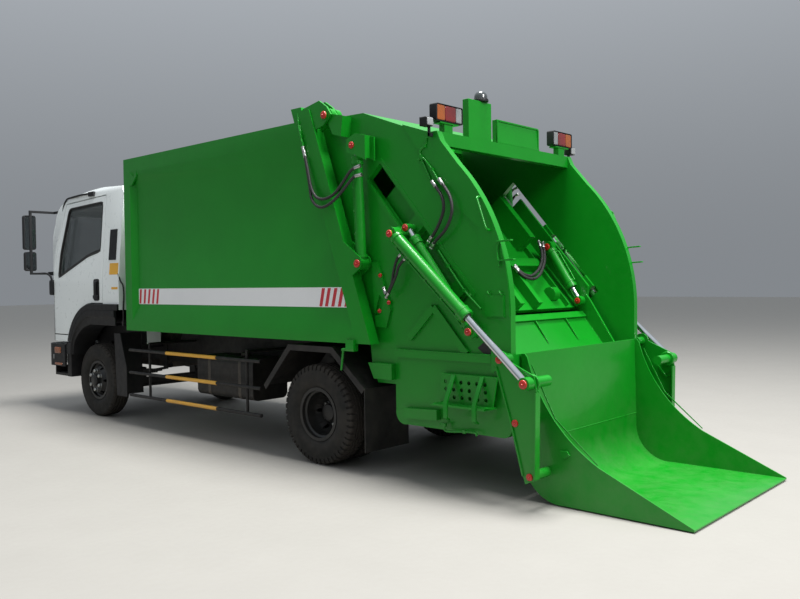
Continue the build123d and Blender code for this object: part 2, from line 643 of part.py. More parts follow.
def dashboard():
    """Dashboard on its console, with the steering column and wheel."""
    dash = block(-900, 900, -1020, -700, 1280, 1500)
    dash += block(-300, 300, -1000, -700, 1160 + SEAT, 1300)
    tilt = (0, 0.75, 0.66)
    column = Plane(origin=at(500, -800, 1400), z_dir=tilt) * Cylinder(
        26, 260, align=(Align.CENTER, Align.CENTER, Align.MIN))
    wheel = Plane(origin=at(500, -610, 1568), z_dir=tilt) * (Torus(205, 15) + Box(400, 44,
                                                                                  18) + Cylinder(50, 30))
    return (dash & cab_solid(CAB_WALL + SEAT)) + column + wheel


def mirror_arm():
    """Outside mirrors on a tubular arm ahead of the door."""
    main = block(1180, 1330, -1130, -1075, 2010, 2440)
    small = block(1180, 1320, -1130, -1075, 1745, 1985)
    main = fillet(main.edges().filter_by(Axis.Y), 30)
    small = fillet(small.edges().filter_by(Axis.Y), 30)
    arm = block(1235, 1265, -1085, -1060, 1700, 2500)
    arm += block(940, 1265, -1075, -1055, 2470, 2500)
    arm += block(940, 960, -1075, -640, 2470, 2500)
    arm += block(985, 1265, -1085, -1060, 1700, 1725)
    arm += block(985, 1035, -1085, -960, 1690, 1735)
    return main + small + arm


def rear_station(z):
    """Station of the load body's leaning rear face at a height."""
    return BODY_REAR_LOW - BODY_LEAN * (z - BODY_BOTTOM)


def leaning(x0, x1, z0, z1, forward, back):
    """Box that leans with the rear face, between two distances from it."""
    return plate(x0, x1, (rear_station(z0) + forward, z0), (rear_station(z1) + forward, z1),
                 (rear_station(z1) + back, z1), (rear_station(z0) + back, z0))


def load_body():
    """Compaction body: leaning rear opening, pressed side panels, posts and hinge plates."""
    bottom, top = BODY_BOTTOM, BODY_TOP
    hull = plate(-BODY_HALF_WIDTH, BODY_HALF_WIDTH, (BODY_FRONT, bottom), (BODY_FRONT, top),
                 (rear_station(top), top), (rear_station(bottom), bottom))
    half = BODY_HALF_WIDTH - BODY_WALL
    hull -= plate(-half, half, (BODY_FRONT + BODY_WALL, bottom + FLOOR_THICK),
                  (BODY_FRONT + BODY_WALL, top - 50),
                  (rear_station(top) + 200, top - 50), (rear_station(bottom) + 200, bottom + FLOOR_THICK))
    for sign in (-1, 1):
        x_skin = sign * (BODY_HALF_WIDTH + 1)
        x_panel = sign * (BODY_HALF_WIDTH - PANEL_RECESS)
        wide = [(RIM_FRONT, RIM_LOW), (RIM_FRONT, RIM_HIGH), (rear_station(RIM_HIGH) - 12, RIM_HIGH),
                (rear_station(RIM_LOW) - 12, RIM_LOW)]
        deep = [(PANEL_FRONT, PANEL_LOW), (PANEL_FRONT, PANEL_HIGH),
                (rear_station(PANEL_HIGH) - 50, PANEL_HIGH),
                (rear_station(PANEL_LOW) - 50, PANEL_LOW)]
        faces = [Pos(x, 0, 0) * outline(*points) for x, points in ((x_skin, wide), (x_panel, deep))]
        hull -= loft(faces)
    for sign in (-1, 1):
        x = side_x(sign, BODY_HALF_WIDTH - POST_WIDTH, BODY_HALF_WIDTH)
        hull += leaning(*x, bottom, top + 90, -1, POST_DEPTH)
        hull += leaning(*x, top - 4, top + 120, -70, 60)
        plates = [(HINGE_X + gap, HINGE_X + gap + 20) for gap in (-44, 24)]
        for x0, x1 in plates:
            ear = plate(x0, x1, (rear_station(top) - 60, top - 10), (rear_station(top) - 40, top + 90),
                        (HINGE[0] - 70, HINGE[1] + 130), (HINGE[0] + 20, HINGE[1] + 70),
                        (HINGE[0] + 70, HINGE[1]), (HINGE[0] - 20, HINGE[1] - 80),
                        (rear_station(top - 120) - 1, top - 120))
            ear = ear if sign > 0 else mirror(ear, about=Plane.YZ)
            hull += ear
        x = side_x(sign, HINGE_X - 44, HINGE_X + 56)
        hull += pin(HINGE, HINGE_PIN, *x)
        hull += pin(LIFT_LOW, 26, *side_x(sign, LIFT_X - 60, LIFT_X + 56))
        for gap in (-60, 42):
            lug_x = side_x(sign, LIFT_X + gap, LIFT_X + gap + 14)
            hull += plate(*lug_x, (rear_station(1900) + POST_DEPTH - 20, 1900), (LIFT_LOW[0] + 20, 1760),
                          ((LIFT_LOW[0] + 48, 1701), (LIFT_LOW[0] + 10, 1650)),
                          (rear_station(1600) + POST_DEPTH - 20, 1600))
    for station in (BODY_FRONT + 60, BODY_FRONT + 1200, BODY_FRONT + 2300):
        hull += block(-RAIL_X - 10, RAIL_X + 10, station, station + 90, SUBFRAME_TOP, bottom + 1)
    for part in both(lifting_ear() + gate_clamp()):
        hull += part
    return hull


def lifting_ear():
    """Lifting plate with its hole in the body's upper front corner."""
    x0, x1 = BODY_HALF_WIDTH - 17, BODY_HALF_WIDTH + 3
    ear = plate(x0, x1, (RIM_FRONT - 20, RIM_HIGH + 22), (RIM_FRONT + 140, RIM_HIGH + 22),
                (RIM_FRONT + 140, RIM_HIGH - 40), (RIM_FRONT + 40, RIM_HIGH - 130),
                (RIM_FRONT - 20, RIM_HIGH - 130))
    return ear - pin((RIM_FRONT + 72, RIM_HIGH - 20), 20, x0 - 1, x1 + 1)


def gate_clamp():
    """Screw clamp under the rear post that draws the tailgate shut, with its hanging handle."""
    x = BODY_HALF_WIDTH + 12
    clamp = block(BODY_HALF_WIDTH - 30, x + 12, 4450, 4540, BODY_BOTTOM - 62, BODY_BOTTOM + 30)
    clamp += bar(x, (4540, 1020), (4400, 1006), 13)
    return clamp + bar(x, (4412, 1012), (4384, 840), GRIP_RADIUS)


def ejector():
    """Ejector panel: leaning face plate, side stiffeners and a skid base."""
    half = BODY_HALF_WIDTH - BODY_WALL - 12
    low = BODY_BOTTOM + FLOOR_THICK + RUNNING_GAP
    high = BODY_TOP - 62
    lean = BODY_LEAN * (high - low)
    start = BODY_FRONT + BODY_WALL + 20
    face = [(start + lean + 120, low), (start + 120, high), (start + 90, high), (start + lean + 90, low)]
    panel = plate(-half, half, *face)
    for x in (-half, -360, 340, half - 20):
        panel += plate(x, x + 20, (start + lean + 100, low), (start + 100, high), (start + 20, high - 200),
                       (start + 20, low))
    panel += block(-half, half, start + 20, start + lean + 110, low, low + 40)
    return panel


def slanted(x0, x1, t0, t1, n0, n1):
    """Box aligned with the packer's slots."""
    return plate(x0, x1, slot_point(t0, n0), slot_point(t0, n1), slot_point(t1, n1), slot_point(t1, n0))


def gate_front(z):
    """Station of the tailgate's front face at a height."""
    return rear_station(z) + TG_GAP


def tailgate():
    """Tailgate: two slotted side walls, roof sheet, top beam, ramp and round trough."""
    hx, hz = BLADE_HINGE
    low_z = hz - TROUGH_RADIUS - TROUGH_PLATE
    wall_points = [(gate_front(1075), 1075), (gate_front(2843), 2843), ((HINGE[0] - 190, 2905),
                   (HINGE[0] - 120, 2935)), (4519, 2923), (4944, 2763), (5225, 2676), (5298, 2676),
                   (5330, 2600), (5495, 2407), ((5831, 1900), (5944, 1255)), (5944, low_z + 90),
                   ((5925, low_z + 25), (5860, low_z)), (4960, low_z),
                   ((4870, low_z + 25), (4845, low_z + 110)),
                   (4845, 745), (4650, 745), (4588, 905)]
    gate = None
    for sign in (-1, 1):
        x = side_x(sign, TG_HALF_WIDTH - TG_WALL, TG_HALF_WIDTH)
        wall = plate(*x, *wall_points)
        wall -= slanted(x[0] - 1, x[1] + 1, SLOT_TOP, SLOT_END, SLOT_NEAR, SLOT_FAR)
        gate = wall if gate is None else gate + wall
    inner = TG_HALF_WIDTH - TG_WALL + 1
    ramp_top = (gate_front(1085) + 10, 1085)
    arc_start = (4838, 762)
    bottom = (hx, hz - TROUGH_RADIUS)
    rear_low_z = hz - (TROUGH_RADIUS ** 2 - (5932 - hx) ** 2) ** 0.5
    out = TROUGH_PLATE
    floor = plate(-inner, inner, ramp_top, arc_start, (bottom, (5932, rear_low_z)), (5932, 1030),
                  (5944, 1030),
                  (5944, rear_low_z - 14), ((hx, hz - TROUGH_RADIUS - out),
                                            (arc_start[0] - 9, arc_start[1] - 6)),
                  (ramp_top[0] - 10, ramp_top[1] - 2))
    gate += floor
    roof = plate(-inner, inner, (HINGE[0] - 120, 2935), (4519, 2923), (4944, 2763), (5225, 2676),
                 (5270, 2676), (5270, 2666),
                 (5222, 2666), (4940, 2753), (4517, 2913), (HINGE[0] - 120, 2925))
    gate += roof
    gate += block(-inner, inner, 5230, 5298, 2575, 2676)
    gate += block(-inner, inner, gate_front(2780) + 4, gate_front(2780) + 110, 2740, 2840)
    for sign in (-1, 1):
        gate += gate_side_fittings(sign)
    return gate


def gate_side_fittings(sign):
    """Brackets, channels and braces on the outside of one tailgate wall."""
    skin = TG_HALF_WIDTH

    def out(x0, x1, *steps):
        return plate(*side_x(sign, x0, x1), *steps)

    hinge_x = side_x(sign, skin - 8, HINGE_X + 18)
    lug = pin(HINGE, 62, *hinge_x)
    lug += out(skin - 1, HINGE_X + 18, (HINGE[0] + 10, HINGE[1] - 60), (HINGE[0] + 60, HINGE[1] + 5),
               (HINGE[0] + 185, HINGE[1] - 25), (HINGE[0] + 160, HINGE[1] - 190),
               (HINGE[0] + 60, HINGE[1] - 160))
    lug -= pin(HINGE, HINGE_PIN + RUNNING_GAP, *side_x(sign, HINGE_X - 30, HINGE_X + 40))
    lug -= out(HINGE_X - 46, HINGE_X - 22, (HINGE[0] - 90, HINGE[1] - 90), (HINGE[0] - 90, HINGE[1] + 90),
               (HINGE[0] + 90, HINGE[1] + 90), (HINGE[0] + 90, HINGE[1] - 90))
    fittings = lug
    ux, uz = LIFT_HIGH
    for gap in (-58, 44):
        x0 = LIFT_X + gap
        fittings += out(x0, x0 + 14, (ux - 60, uz - 50), (ux - 60, uz + 50), (ux + 40, uz + 90),
                        (ux + 150, uz + 60), (ux + 150, uz - 130), (ux + 60, uz - 90))
    fittings += out(skin - 1, LIFT_X + 58, (ux + 90, uz + 78), (ux + 104, uz + 74), (ux + 104, uz - 106),
                    (ux + 90, uz - 100))
    px, pz = BUCKET_CYL_BASE
    base = ((px - 90, pz - 90), (px - 60, pz + 60), (px + 30, pz + 60), (px + 60, pz - 30),
            (px + 10, pz - 110))
    slot_x = side_x(sign, skin - 2, ARM_X + 10)
    fittings += out(skin - 1, ARM_X - 12, *base) - slanted(*slot_x, SLOT_TOP, SLOT_END, SLOT_NEAR, SLOT_FAR)
    fittings += out(skin + 6, ARM_X - 12, *base) - slanted(*slot_x, SLOT_TOP, SLOT_END, LUG_NEAR, SLOT_FAR)
    fittings += pin(BUCKET_CYL_BASE, 27, *side_x(sign, ARM_X - 14, BUCKET_CYL_X + 48))
    cx, cz = CARRIAGE_CYL_LOW
    fittings += pin(CARRIAGE_CYL_LOW, 26, *side_x(sign, skin - 1, CARRIAGE_CYL_X + 48))
    fittings += out(skin - 1, skin + 5, (cx - 120, cz + 40), (cx + 50, cz + 60), (cx + 70, cz - 60),
                    (cx - 60, cz - 80))
    fittings += pin(BUCKET_PIVOT, 34, *side_x(sign, skin - 2, ARM_X + ARM_PLATE + 6))
    fittings += out(skin - 1, skin + 40, (5944, 1040), (5944, 950), (5800, 900), (5800, 1060))
    fittings += out(skin - 1, skin + 30, (4860, 1020), (5790, 1020), (5790, 965), (4860, 965))
    fittings += out(skin - 1, skin + 50, (4588, 905), (4845, 905), (4845, 780), (4650, 780))
    fittings += out(skin - 1, skin + EDGE_PLATE, (4947, 2771), (5225, 2676), (5298, 2676), (5330, 2600), (5495, 2407),
                    ((5831, 1900), (5937, 1298)), (5667, 1298), (5676, 1931), (5432, 2133))
    fittings += out(skin - 1, skin + 14, (5731, 1292), (5731, 1449), (5897, 1449), (5897, 1292))
    for start, end in (((5007, 1117), (5253, 1356)), ((5253, 1356), (5560, 1020))):
        fittings += rib(sign, start, end, 56, 24)
    lock = out(skin - 1, skin + 22, (4613, 1713), (4680, 1711), (4815, 1332), (4768, 1190), (4650, 1190))
    fittings += lock - out(skin + 2, skin + 30, (4740, 1410), (4697, 1449), (4638, 1282), (4700, 1290))
    underrun = out(skin - 1, skin + 50, (4966, 494), (4966, 572), (5300, 589), (5300, 511))
    fittings += underrun - out(skin + 5, skin + 44, (4960, 500), (4960, 566), (5294, 583), (5294, 517))
    for n0, n1 in ((SLOT_NEAR - 40, SLOT_NEAR - 8), (SLOT_FAR + 8, SLOT_FAR + 40)):
        fittings += slanted(*side_x(sign, skin - 1, skin + 4), SLOT_TOP - 20, SLOT_END + 20, n0, n1)
    return fittings


def rib(sign, start, end, width, height):
    """Flat rib on the outside of a tailgate wall between two points."""
    (s0, z0), (s1, z1) = start, end
    length = hypot(s1 - s0, z1 - z0)
    ns, nz = -(z1 - z0) / length * width / 2, (s1 - s0) / length * width / 2
    x = side_x(sign, TG_HALF_WIDTH - 1, TG_HALF_WIDTH + height)
    return plate(*x, (s0 + ns, z0 + nz), (s1 + ns, z1 + nz), (s1 - ns, z1 - nz), (s0 - ns, z0 - nz))


def step_strap(station):
    """Flat strap that carries a step: from the wall out to the tread's edge, hooked under it."""
    skin = TG_HALF_WIDTH
    reach = skin + STEP_REACH
    line = Polyline((skin + 20, STEP_TOP - 4), (skin + 56, STEP_TOP - 4), (reach + 8, STEP_HEIGHT + 20),
                    (reach + 8, STEP_HEIGHT - 95), (reach - 34, STEP_HEIGHT - 118),
                    (reach - 34, STEP_HEIGHT - 106),
                    (reach - 4, STEP_HEIGHT - 88), (reach - 4, STEP_HEIGHT + 17), (skin + 50, STEP_TOP - 16),
                    (skin + 20, STEP_TOP - 16), close=True)
    return Pos(0, station + Y_FRONT_AXLE, 0) * extrude(Plane.XZ * make_face(line), amount=17, both=True)


def grab_handle():
    """Bent round handle on the tailgate's wall, near its rear edge."""
    skin = TG_HALF_WIDTH + EDGE_PLATE + SEAT
    out = skin + 42
    top, low = (5690, 2150), (5775, 1910)
    route = FilletPolyline(at(skin, *top), at(out, *top), at(out, *low), at(skin, *low), radius=24)
    return sweep(Plane(origin=route @ 0, z_dir=route % 0) * Circle(GRIP_RADIUS), path=route)


def tailgate_fittings():
    """Perforated steps and handles, roof stands with sign box and beacon, and the lamps."""
    steps = both(grab_handle())
    for sign in (-1, 1):
        x = side_x(sign, TG_HALF_WIDTH + SEAT, TG_HALF_WIDTH + STEP_REACH)
        tread = block(*x, STEP_FRONT, STEP_REAR, STEP_HEIGHT - 15, STEP_HEIGHT)
        face = plate(*side_x(sign, TG_HALF_WIDTH + 40, TG_HALF_WIDTH + 52), (STEP_FRONT + 15, STEP_TOP),
                     (STEP_REAR + 45, STEP_TOP), (STEP_REAR, STEP_HEIGHT - 15),
                     (STEP_FRONT, STEP_HEIGHT - 15))
        for row in range(3):
            for column in range(6):
                point = (5400 + column * 72 - row * 4, 700 + row * 56)
                face -= pin(point, 15, *side_x(sign, 950, 1100))
        brace = plate(*side_x(sign, TG_HALF_WIDTH + SEAT, TG_HALF_WIDTH + 41),
                      (STEP_FRONT + 15, STEP_TOP), (STEP_REAR + 45, STEP_TOP),
                      (STEP_REAR + 43, STEP_TOP - 15),
                      (STEP_FRONT + 17, STEP_TOP - 15))
        step = tread + face + brace
        for strap in (step_strap(5470), step_strap(5730)):
            step += strap if sign > 0 else mirror(strap, about=Plane.YZ)
        steps.append(step)
    save("tailgate_steps", *steps)
    beam_top = 2676 + SEAT
    tower = block(262, 562, 5232, 5292, beam_top, 2980)
    sign_board = plate(-437, 180, (5240, beam_top), (5240, 2868), (5280, 2868), (5290, beam_top))
    stands = []
    for sign in (-1, 1):
        stand = block(*side_x(sign, 760, 860), 5236, 5290, beam_top, 2745)
        stand += block(*side_x(sign, 700, 920), 5230, 5300, 2741, 2753)
        stands.append(stand)
    save("tailgate_roof_fittings", tower, sign_board, *stands)
    lamps = [block(*side_x(sign, 652, 972), 5232, 5306, 2753 + SEAT, 2885) for sign in (-1, 1)]
    beacon = Pos(*at(362, 5262, 2980 + SEAT)) * Cylinder(62, 92,
                                                         align=(Align.CENTER, Align.CENTER, Align.MIN))
    flood = block(TG_HALF_WIDTH + 27, TG_HALF_WIDTH + 107, 5212, 5290, 2705, 2775)
    flood += block(TG_HALF_WIDTH + EDGE_PLATE + SEAT, TG_HALF_WIDTH + 46, 5240, 5264, 2636, 2660)
    flood += block(TG_HALF_WIDTH + 34, TG_HALF_WIDTH + 46, 5240, 5264, 2636, 2710)
    save("rear_lamps", *lamps, beacon, *both(flood))


def cylinder_pair(x, base, eye, tube, rod, barrel_length, rod_start, eye_radius, base_pin, eye_x):
    """Barrels and rods of a left and right pair: the barrel turns on its base pin, the rod slides in it."""
    bx, bz = base
    reach = hypot(eye[0] - bx, eye[1] - bz)
    half = eye_x / 2
    barrel = bar(x, base, eye, tube, 30, reach - barrel_length)
    barrel += pin(base, base_pin + 24, x - half, x + half)
    barrel += bar(x, base, eye, tube + 6, barrel_length - 60, reach - barrel_length - 4)
    barrel -= pin(base, base_pin + RUNNING_GAP, x - half - 1, x + half + 1)
    barrel -= bar(x, base, eye, rod + RUNNING_GAP, 90, reach - barrel_length - 40)
    piston = bar(x, base, eye, rod, rod_start, 20)
    piston += pin(eye, eye_radius, x - half, x + half)
    return both(barrel), both(piston)


def cylinders():
    """All four pairs of hydraulic cylinders."""
    table = (
        # name, x, base, eye, tube, rod, barrel length, rod start, eye radius, base pin, eye width
        ("lift", LIFT_X, LIFT_LOW, LIFT_HIGH, 40, 25, 860, 140, 40, 26, 80),
        ("bucket", BUCKET_CYL_X, BUCKET_CYL_BASE, BUCKET_CYL_EYE, 48, 27, 930, 500, 46, 27, 70),
        ("carriage", CARRIAGE_CYL_X, CARRIAGE_CYL_LOW, CARRIAGE_CYL_TOP, 38, 24, 880, 140, 32, 26, 70),
        ("blade", BLADE_CYL_X, BLADE_CYL_BASE, BLADE_CYL_EYE, 45, 26, 440, 140, 42, 28, 70),
    )
    for name, x, base, eye, *sizes in table:
        barrels, rods = cylinder_pair(x, base, eye, *sizes)
        save(f"{name}_barrels", *barrels)
        save(f"{name}_rods", *rods)


def packer():
    """Carriage that slides in the slots and the blade hinged under it."""
    inner = TG_HALF_WIDTH - TG_WALL
    half = inner - 22
    plate_near, plate_far = 4925, 4965
    carriage = slanted(-half, half, 1380, 2480, plate_near, plate_far)
    hx, hz = BLADE_HINGE
    for sign in (-1, 1):
        x = side_x(sign, half - 26, half)
        carriage += plate(*x, slot_point(1380, plate_near), slot_point(1380, 5160), slot_point(2480, 5160),
                          (hx + 55, hz + 70), ((hx + 60, hz - 50), (hx - 55, hz - 50)),
                          slot_point(2480, plate_near))
        x = side_x(sign, 520, 600)
        carriage += slanted(*x, 1380, 1890, plate_far - 1, 5160)
        for t in (1805, 2440):
            block_x = side_x(sign, half - 2, TG_HALF_WIDTH - 6)
            shoe = slanted(*block_x, t - 62, t + 62, SLOT_NEAR + RUNNING_GAP, SLOT_FAR - RUNNING_GAP)
            carriage += shoe
        carriage += pin(BLADE_CYL_BASE, 28, *side_x(sign, half - 10, BLADE_CYL_X - 45))
        carriage += pin(BLADE_HINGE, 32, *side_x(sign, half, half - 76))
        carriage += pin(CARRIAGE_CYL_TOP, 34, *side_x(sign, TG_HALF_WIDTH - 10, CARRIAGE_CYL_X - 37))
    save("packer_carriage", carriage)
    blade_half = half - 30
    ux, uz = cos(radians(BLADE_REST)), sin(radians(BLADE_REST))
    nx, nz = -uz, ux

    def blade_point(along, across):
        return (hx + ux * along + nx * across, hz + uz * along + nz * across)

    blade = plate(-blade_half, blade_half, blade_point(-30, 54), blade_point(600, 54), blade_point(720, 8),
                  blade_point(BLADE_RADIUS, -12), blade_point(715, -30), blade_point(560, -50),
                  blade_point(-20, -54))
    blade += pin(BLADE_HINGE, 60, -blade_half, blade_half)
    for sign in (-1, 1):
        x = side_x(sign, blade_half - 24, blade_half)
        blade += plate(*x, (5440, 1410), (5520, 1420), (5560, 1367), blade_point(520, 130),
                       blade_point(560, 50),
                       blade_point(-20, 30), (5430, 1340))
        blade -= pin(BLADE_HINGE, 32 + RUNNING_GAP, *side_x(sign, blade_half + 1, half - 90))
    save("sweep_blade", blade)


def bucket():
    """Loading bucket: curved back wall into a flat floor, side plates, and the two lift arms."""
    low = BUCKET_CLEAR
    back = 5962
    outer = [(back, 1034), (back + 12, 330), ((6060, 92), (6300, low)), (BUCKET_REACH, low)]
    inner = [(BUCKET_REACH, low + BUCKET_PLATE), (6302, low + BUCKET_PLATE),
             ((6068, 100), (back + 12 + BUCKET_PLATE, 332)),
             (back + BUCKET_PLATE, 1034)]
    half = BUCKET_HALF_WIDTH
    pan = plate(-half, half, *outer, *inner)
    scoop = pan
    for sign in (-1, 1):
        x = side_x(sign, half, half - BUCKET_PLATE)
        side = plate(*x, (back, 1034), (back + 12, 330), ((6060, 92), (6300, low)), (BUCKET_REACH, low),
                     (BUCKET_REACH, low + 14), (6560, 308), ((6215, 600), (6010, 1010)), (5990, 1034))
        scoop += side
        x = side_x(sign, ARM_X, ARM_X + ARM_PLATE)
        ax, az = BUCKET_PIVOT
        arm = plate(*x, (ax - 60, az - 10), ((ax - 10, az + 62), (ax + 62, az)), (6205, 912), (6228, 800),
                    (6215, 215), (6130, 175), (6110, 230), (6015, 590))
        flange_x = side_x(sign, ARM_X - 30, ARM_X + 26)
        arm += plate(*flange_x, (6216, 800), (6228, 800), (6215, 215), (6203, 215))
        arm += plate(*flange_x, (5896, 960), (5908, 960), (6027, 590), (6122, 230), (6110, 230), (6015, 590))
        arm -= pin(BUCKET_PIVOT, 34 + RUNNING_GAP, *side_x(sign, ARM_X - 50, ARM_X + 90))
        scoop += arm
        for point, radius in (((6173, 860), 38), ((6053, 580), 34), ((6166, 229), 34)):
            scoop += pin(point, radius, *side_x(sign, half - 4, ARM_X + 2))
    return scoop


def main():
    """Write every node."""
    os.makedirs("parts", exist_ok=True)
    wheels_and_axles()
    chassis()
    cab()
    save("load_body", load_body())
    save("ejector_panel", ejector())
    save("tailgate_shell", tailgate())
    tailgate_fittings()
    cylinders()
    packer()
    save("bucket", bucket())


main()
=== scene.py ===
"""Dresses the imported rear-loading compactor truck and sets it in a plain studio.

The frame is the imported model's: +X to the vehicle's left, +Y to the rear, +Z up, in metres, ground at Z = 0.
Shapes are worked out in millimetres as x, station and height, where a station is a distance behind the front
axle, and turned to the frame's metres when a piece is added.
"""
from __future__ import annotations

import json
import logging
from dataclasses import dataclass, field
from enum import Enum

import bmesh
import bpy
import numpy as np
from mathutils import Matrix, Vector

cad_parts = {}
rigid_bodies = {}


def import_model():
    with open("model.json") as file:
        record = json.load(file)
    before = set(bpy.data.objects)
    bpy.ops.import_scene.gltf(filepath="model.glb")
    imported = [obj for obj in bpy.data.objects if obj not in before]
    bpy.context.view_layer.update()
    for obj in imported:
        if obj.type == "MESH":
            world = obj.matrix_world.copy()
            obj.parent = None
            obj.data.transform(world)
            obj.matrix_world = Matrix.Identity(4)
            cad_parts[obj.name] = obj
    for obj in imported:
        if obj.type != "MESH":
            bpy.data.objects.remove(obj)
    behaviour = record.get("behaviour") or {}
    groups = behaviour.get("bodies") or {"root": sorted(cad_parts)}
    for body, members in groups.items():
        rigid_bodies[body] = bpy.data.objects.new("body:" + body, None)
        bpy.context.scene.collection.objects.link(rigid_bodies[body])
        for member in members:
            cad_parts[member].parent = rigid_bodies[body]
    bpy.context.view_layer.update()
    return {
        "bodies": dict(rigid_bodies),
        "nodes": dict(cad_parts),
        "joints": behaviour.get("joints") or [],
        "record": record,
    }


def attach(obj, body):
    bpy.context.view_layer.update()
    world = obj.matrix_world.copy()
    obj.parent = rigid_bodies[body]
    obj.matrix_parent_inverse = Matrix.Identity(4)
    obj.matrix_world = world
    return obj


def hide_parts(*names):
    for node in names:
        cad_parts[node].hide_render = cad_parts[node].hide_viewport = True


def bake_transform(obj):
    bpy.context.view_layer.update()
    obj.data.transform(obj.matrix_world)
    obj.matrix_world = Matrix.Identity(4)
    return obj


log = logging.getLogger("truck")

MM = 0.001
SIDES = {1: "left", -1: "right"}
# Creases past this angle stay sharp, and points nearer than this become one
SHARP = np.radians(34)
MERGE_M = 2e-5
# Road dust: waves in a metre, the noise range that it fades in over, where it is thickest, how dull it is
DUST_WAVES = 7.0
DUST_RANGE = (0.34, 0.72)
DUST_BASE_M = 0.15
DUST_ROUGHNESS = 0.92
Socket = bpy.types.NodeSocket


def linear(hex_colour: str) -> tuple[float, float, float, float]:
    """Turns an sRGB hex colour into linear RGBA.

    Args:
        hex_colour: Six hex digits, such as "1f8f30".

    Returns:
        Linear red, green, blue and an alpha of one.
    """
    srgb = np.array([int(hex_colour[i:i + 2], 16) for i in (0, 2, 4)]) / 255
    rgb = np.where(srgb <= 0.04045, srgb / 12.92, ((srgb + 0.055) / 1.055) ** 2.4)
    return (*rgb.tolist(), 1.0)


def add_node(tree: bpy.types.NodeTree, kind: str, inputs: dict | None = None,
             **settings: object) -> bpy.types.Node:
    """Adds one node with its settings and links.

    Args:
        tree: The node tree.
        kind: The node's type name.
        inputs: Socket name or number to a value, or to an output socket that is linked to it.
        settings: Attributes of the node.

    Returns:
        The new node.
    """
    node = tree.nodes.new(kind)
    for name, value in settings.items():
        setattr(node, name, value)
    for name, value in (inputs or {}).items():
        if isinstance(value, Socket):
            tree.links.new(value, node.inputs[name])
        else:
            node.inputs[name].default_value = value
    return node


def remap(tree: bpy.types.NodeTree, value: Socket, source: tuple, target: tuple,
          smooth: bool = False) -> Socket:
    """Carries a value from one range to another, evenly or on a smooth step.

    Args:
        tree: The node tree.
        value: The value.
        source: Where the range starts and ends.
        target: What those two become.
        smooth: Whether the way between is a smooth step.

    Returns:
        The new value's socket.
    """
    ends = dict(zip(("From Min", "From Max", "To Min", "To Max"), (*source, *target)))
    return add_node(tree, "ShaderNodeMapRange", {"Value": value, **ends},
                    interpolation_type="SMOOTHSTEP" if smooth else "LINEAR").outputs["Result"]


class Graph:
    """A material's node tree, with the few nodes that all finishes are made of."""

    def __init__(self, name: str) -> None:
        """Starts an empty material and its Object coordinates.

        Args:
            name: The material's name.
        """
        self.material = bpy.data.materials.new(name)
        self.material.use_nodes = True
        self.tree = self.material.node_tree
        self.tree.nodes.clear()
        self.place = add_node(self.tree, "ShaderNodeTexCoord").outputs["Object"]

    def noise(self, scale: float, detail: float, roughness: float = 0.5) -> Socket:
        """Noise with so many waves in a metre."""
        return add_node(self.tree, "ShaderNodeTexNoise", {
            "Vector": self.place, "Scale": scale, "Detail": detail, "Roughness": roughness}).outputs["Fac"]

    def mix(self, share: Socket, first: Socket | tuple, second: Socket | tuple) -> Socket:
        """Colour between two by a share."""
        return add_node(self.tree, "ShaderNodeMix", {0: share, 6: first, 7: second},
                        data_type="RGBA").outputs[2]

    def bump(self, height: Socket, depth_mm: float, inputs: dict | None = None) -> Socket:
        """Normal of a height whose full range is so many millimetres deep."""
        return add_node(self.tree, "ShaderNodeBump", {
            "Height": height, "Distance": depth_mm * MM, "Strength": 1.0, **(inputs or {})}).outputs["Normal"]

    def finished(self, inputs: dict) -> bpy.types.Material:
        """Adds the shader.

        Args:
            inputs: The shader's inputs by name.

        Returns:
            The material.
        """
        shader = add_node(self.tree, "ShaderNodeBsdfPrincipled", inputs)
        add_node(self.tree, "ShaderNodeOutputMaterial", {"Surface": shader.outputs["BSDF"]})
        return self.material


class Coverage(Enum):
    """Where road dust settles on a finish."""

    NONE = "none"
    LOW = "low"
    ALL = "all"


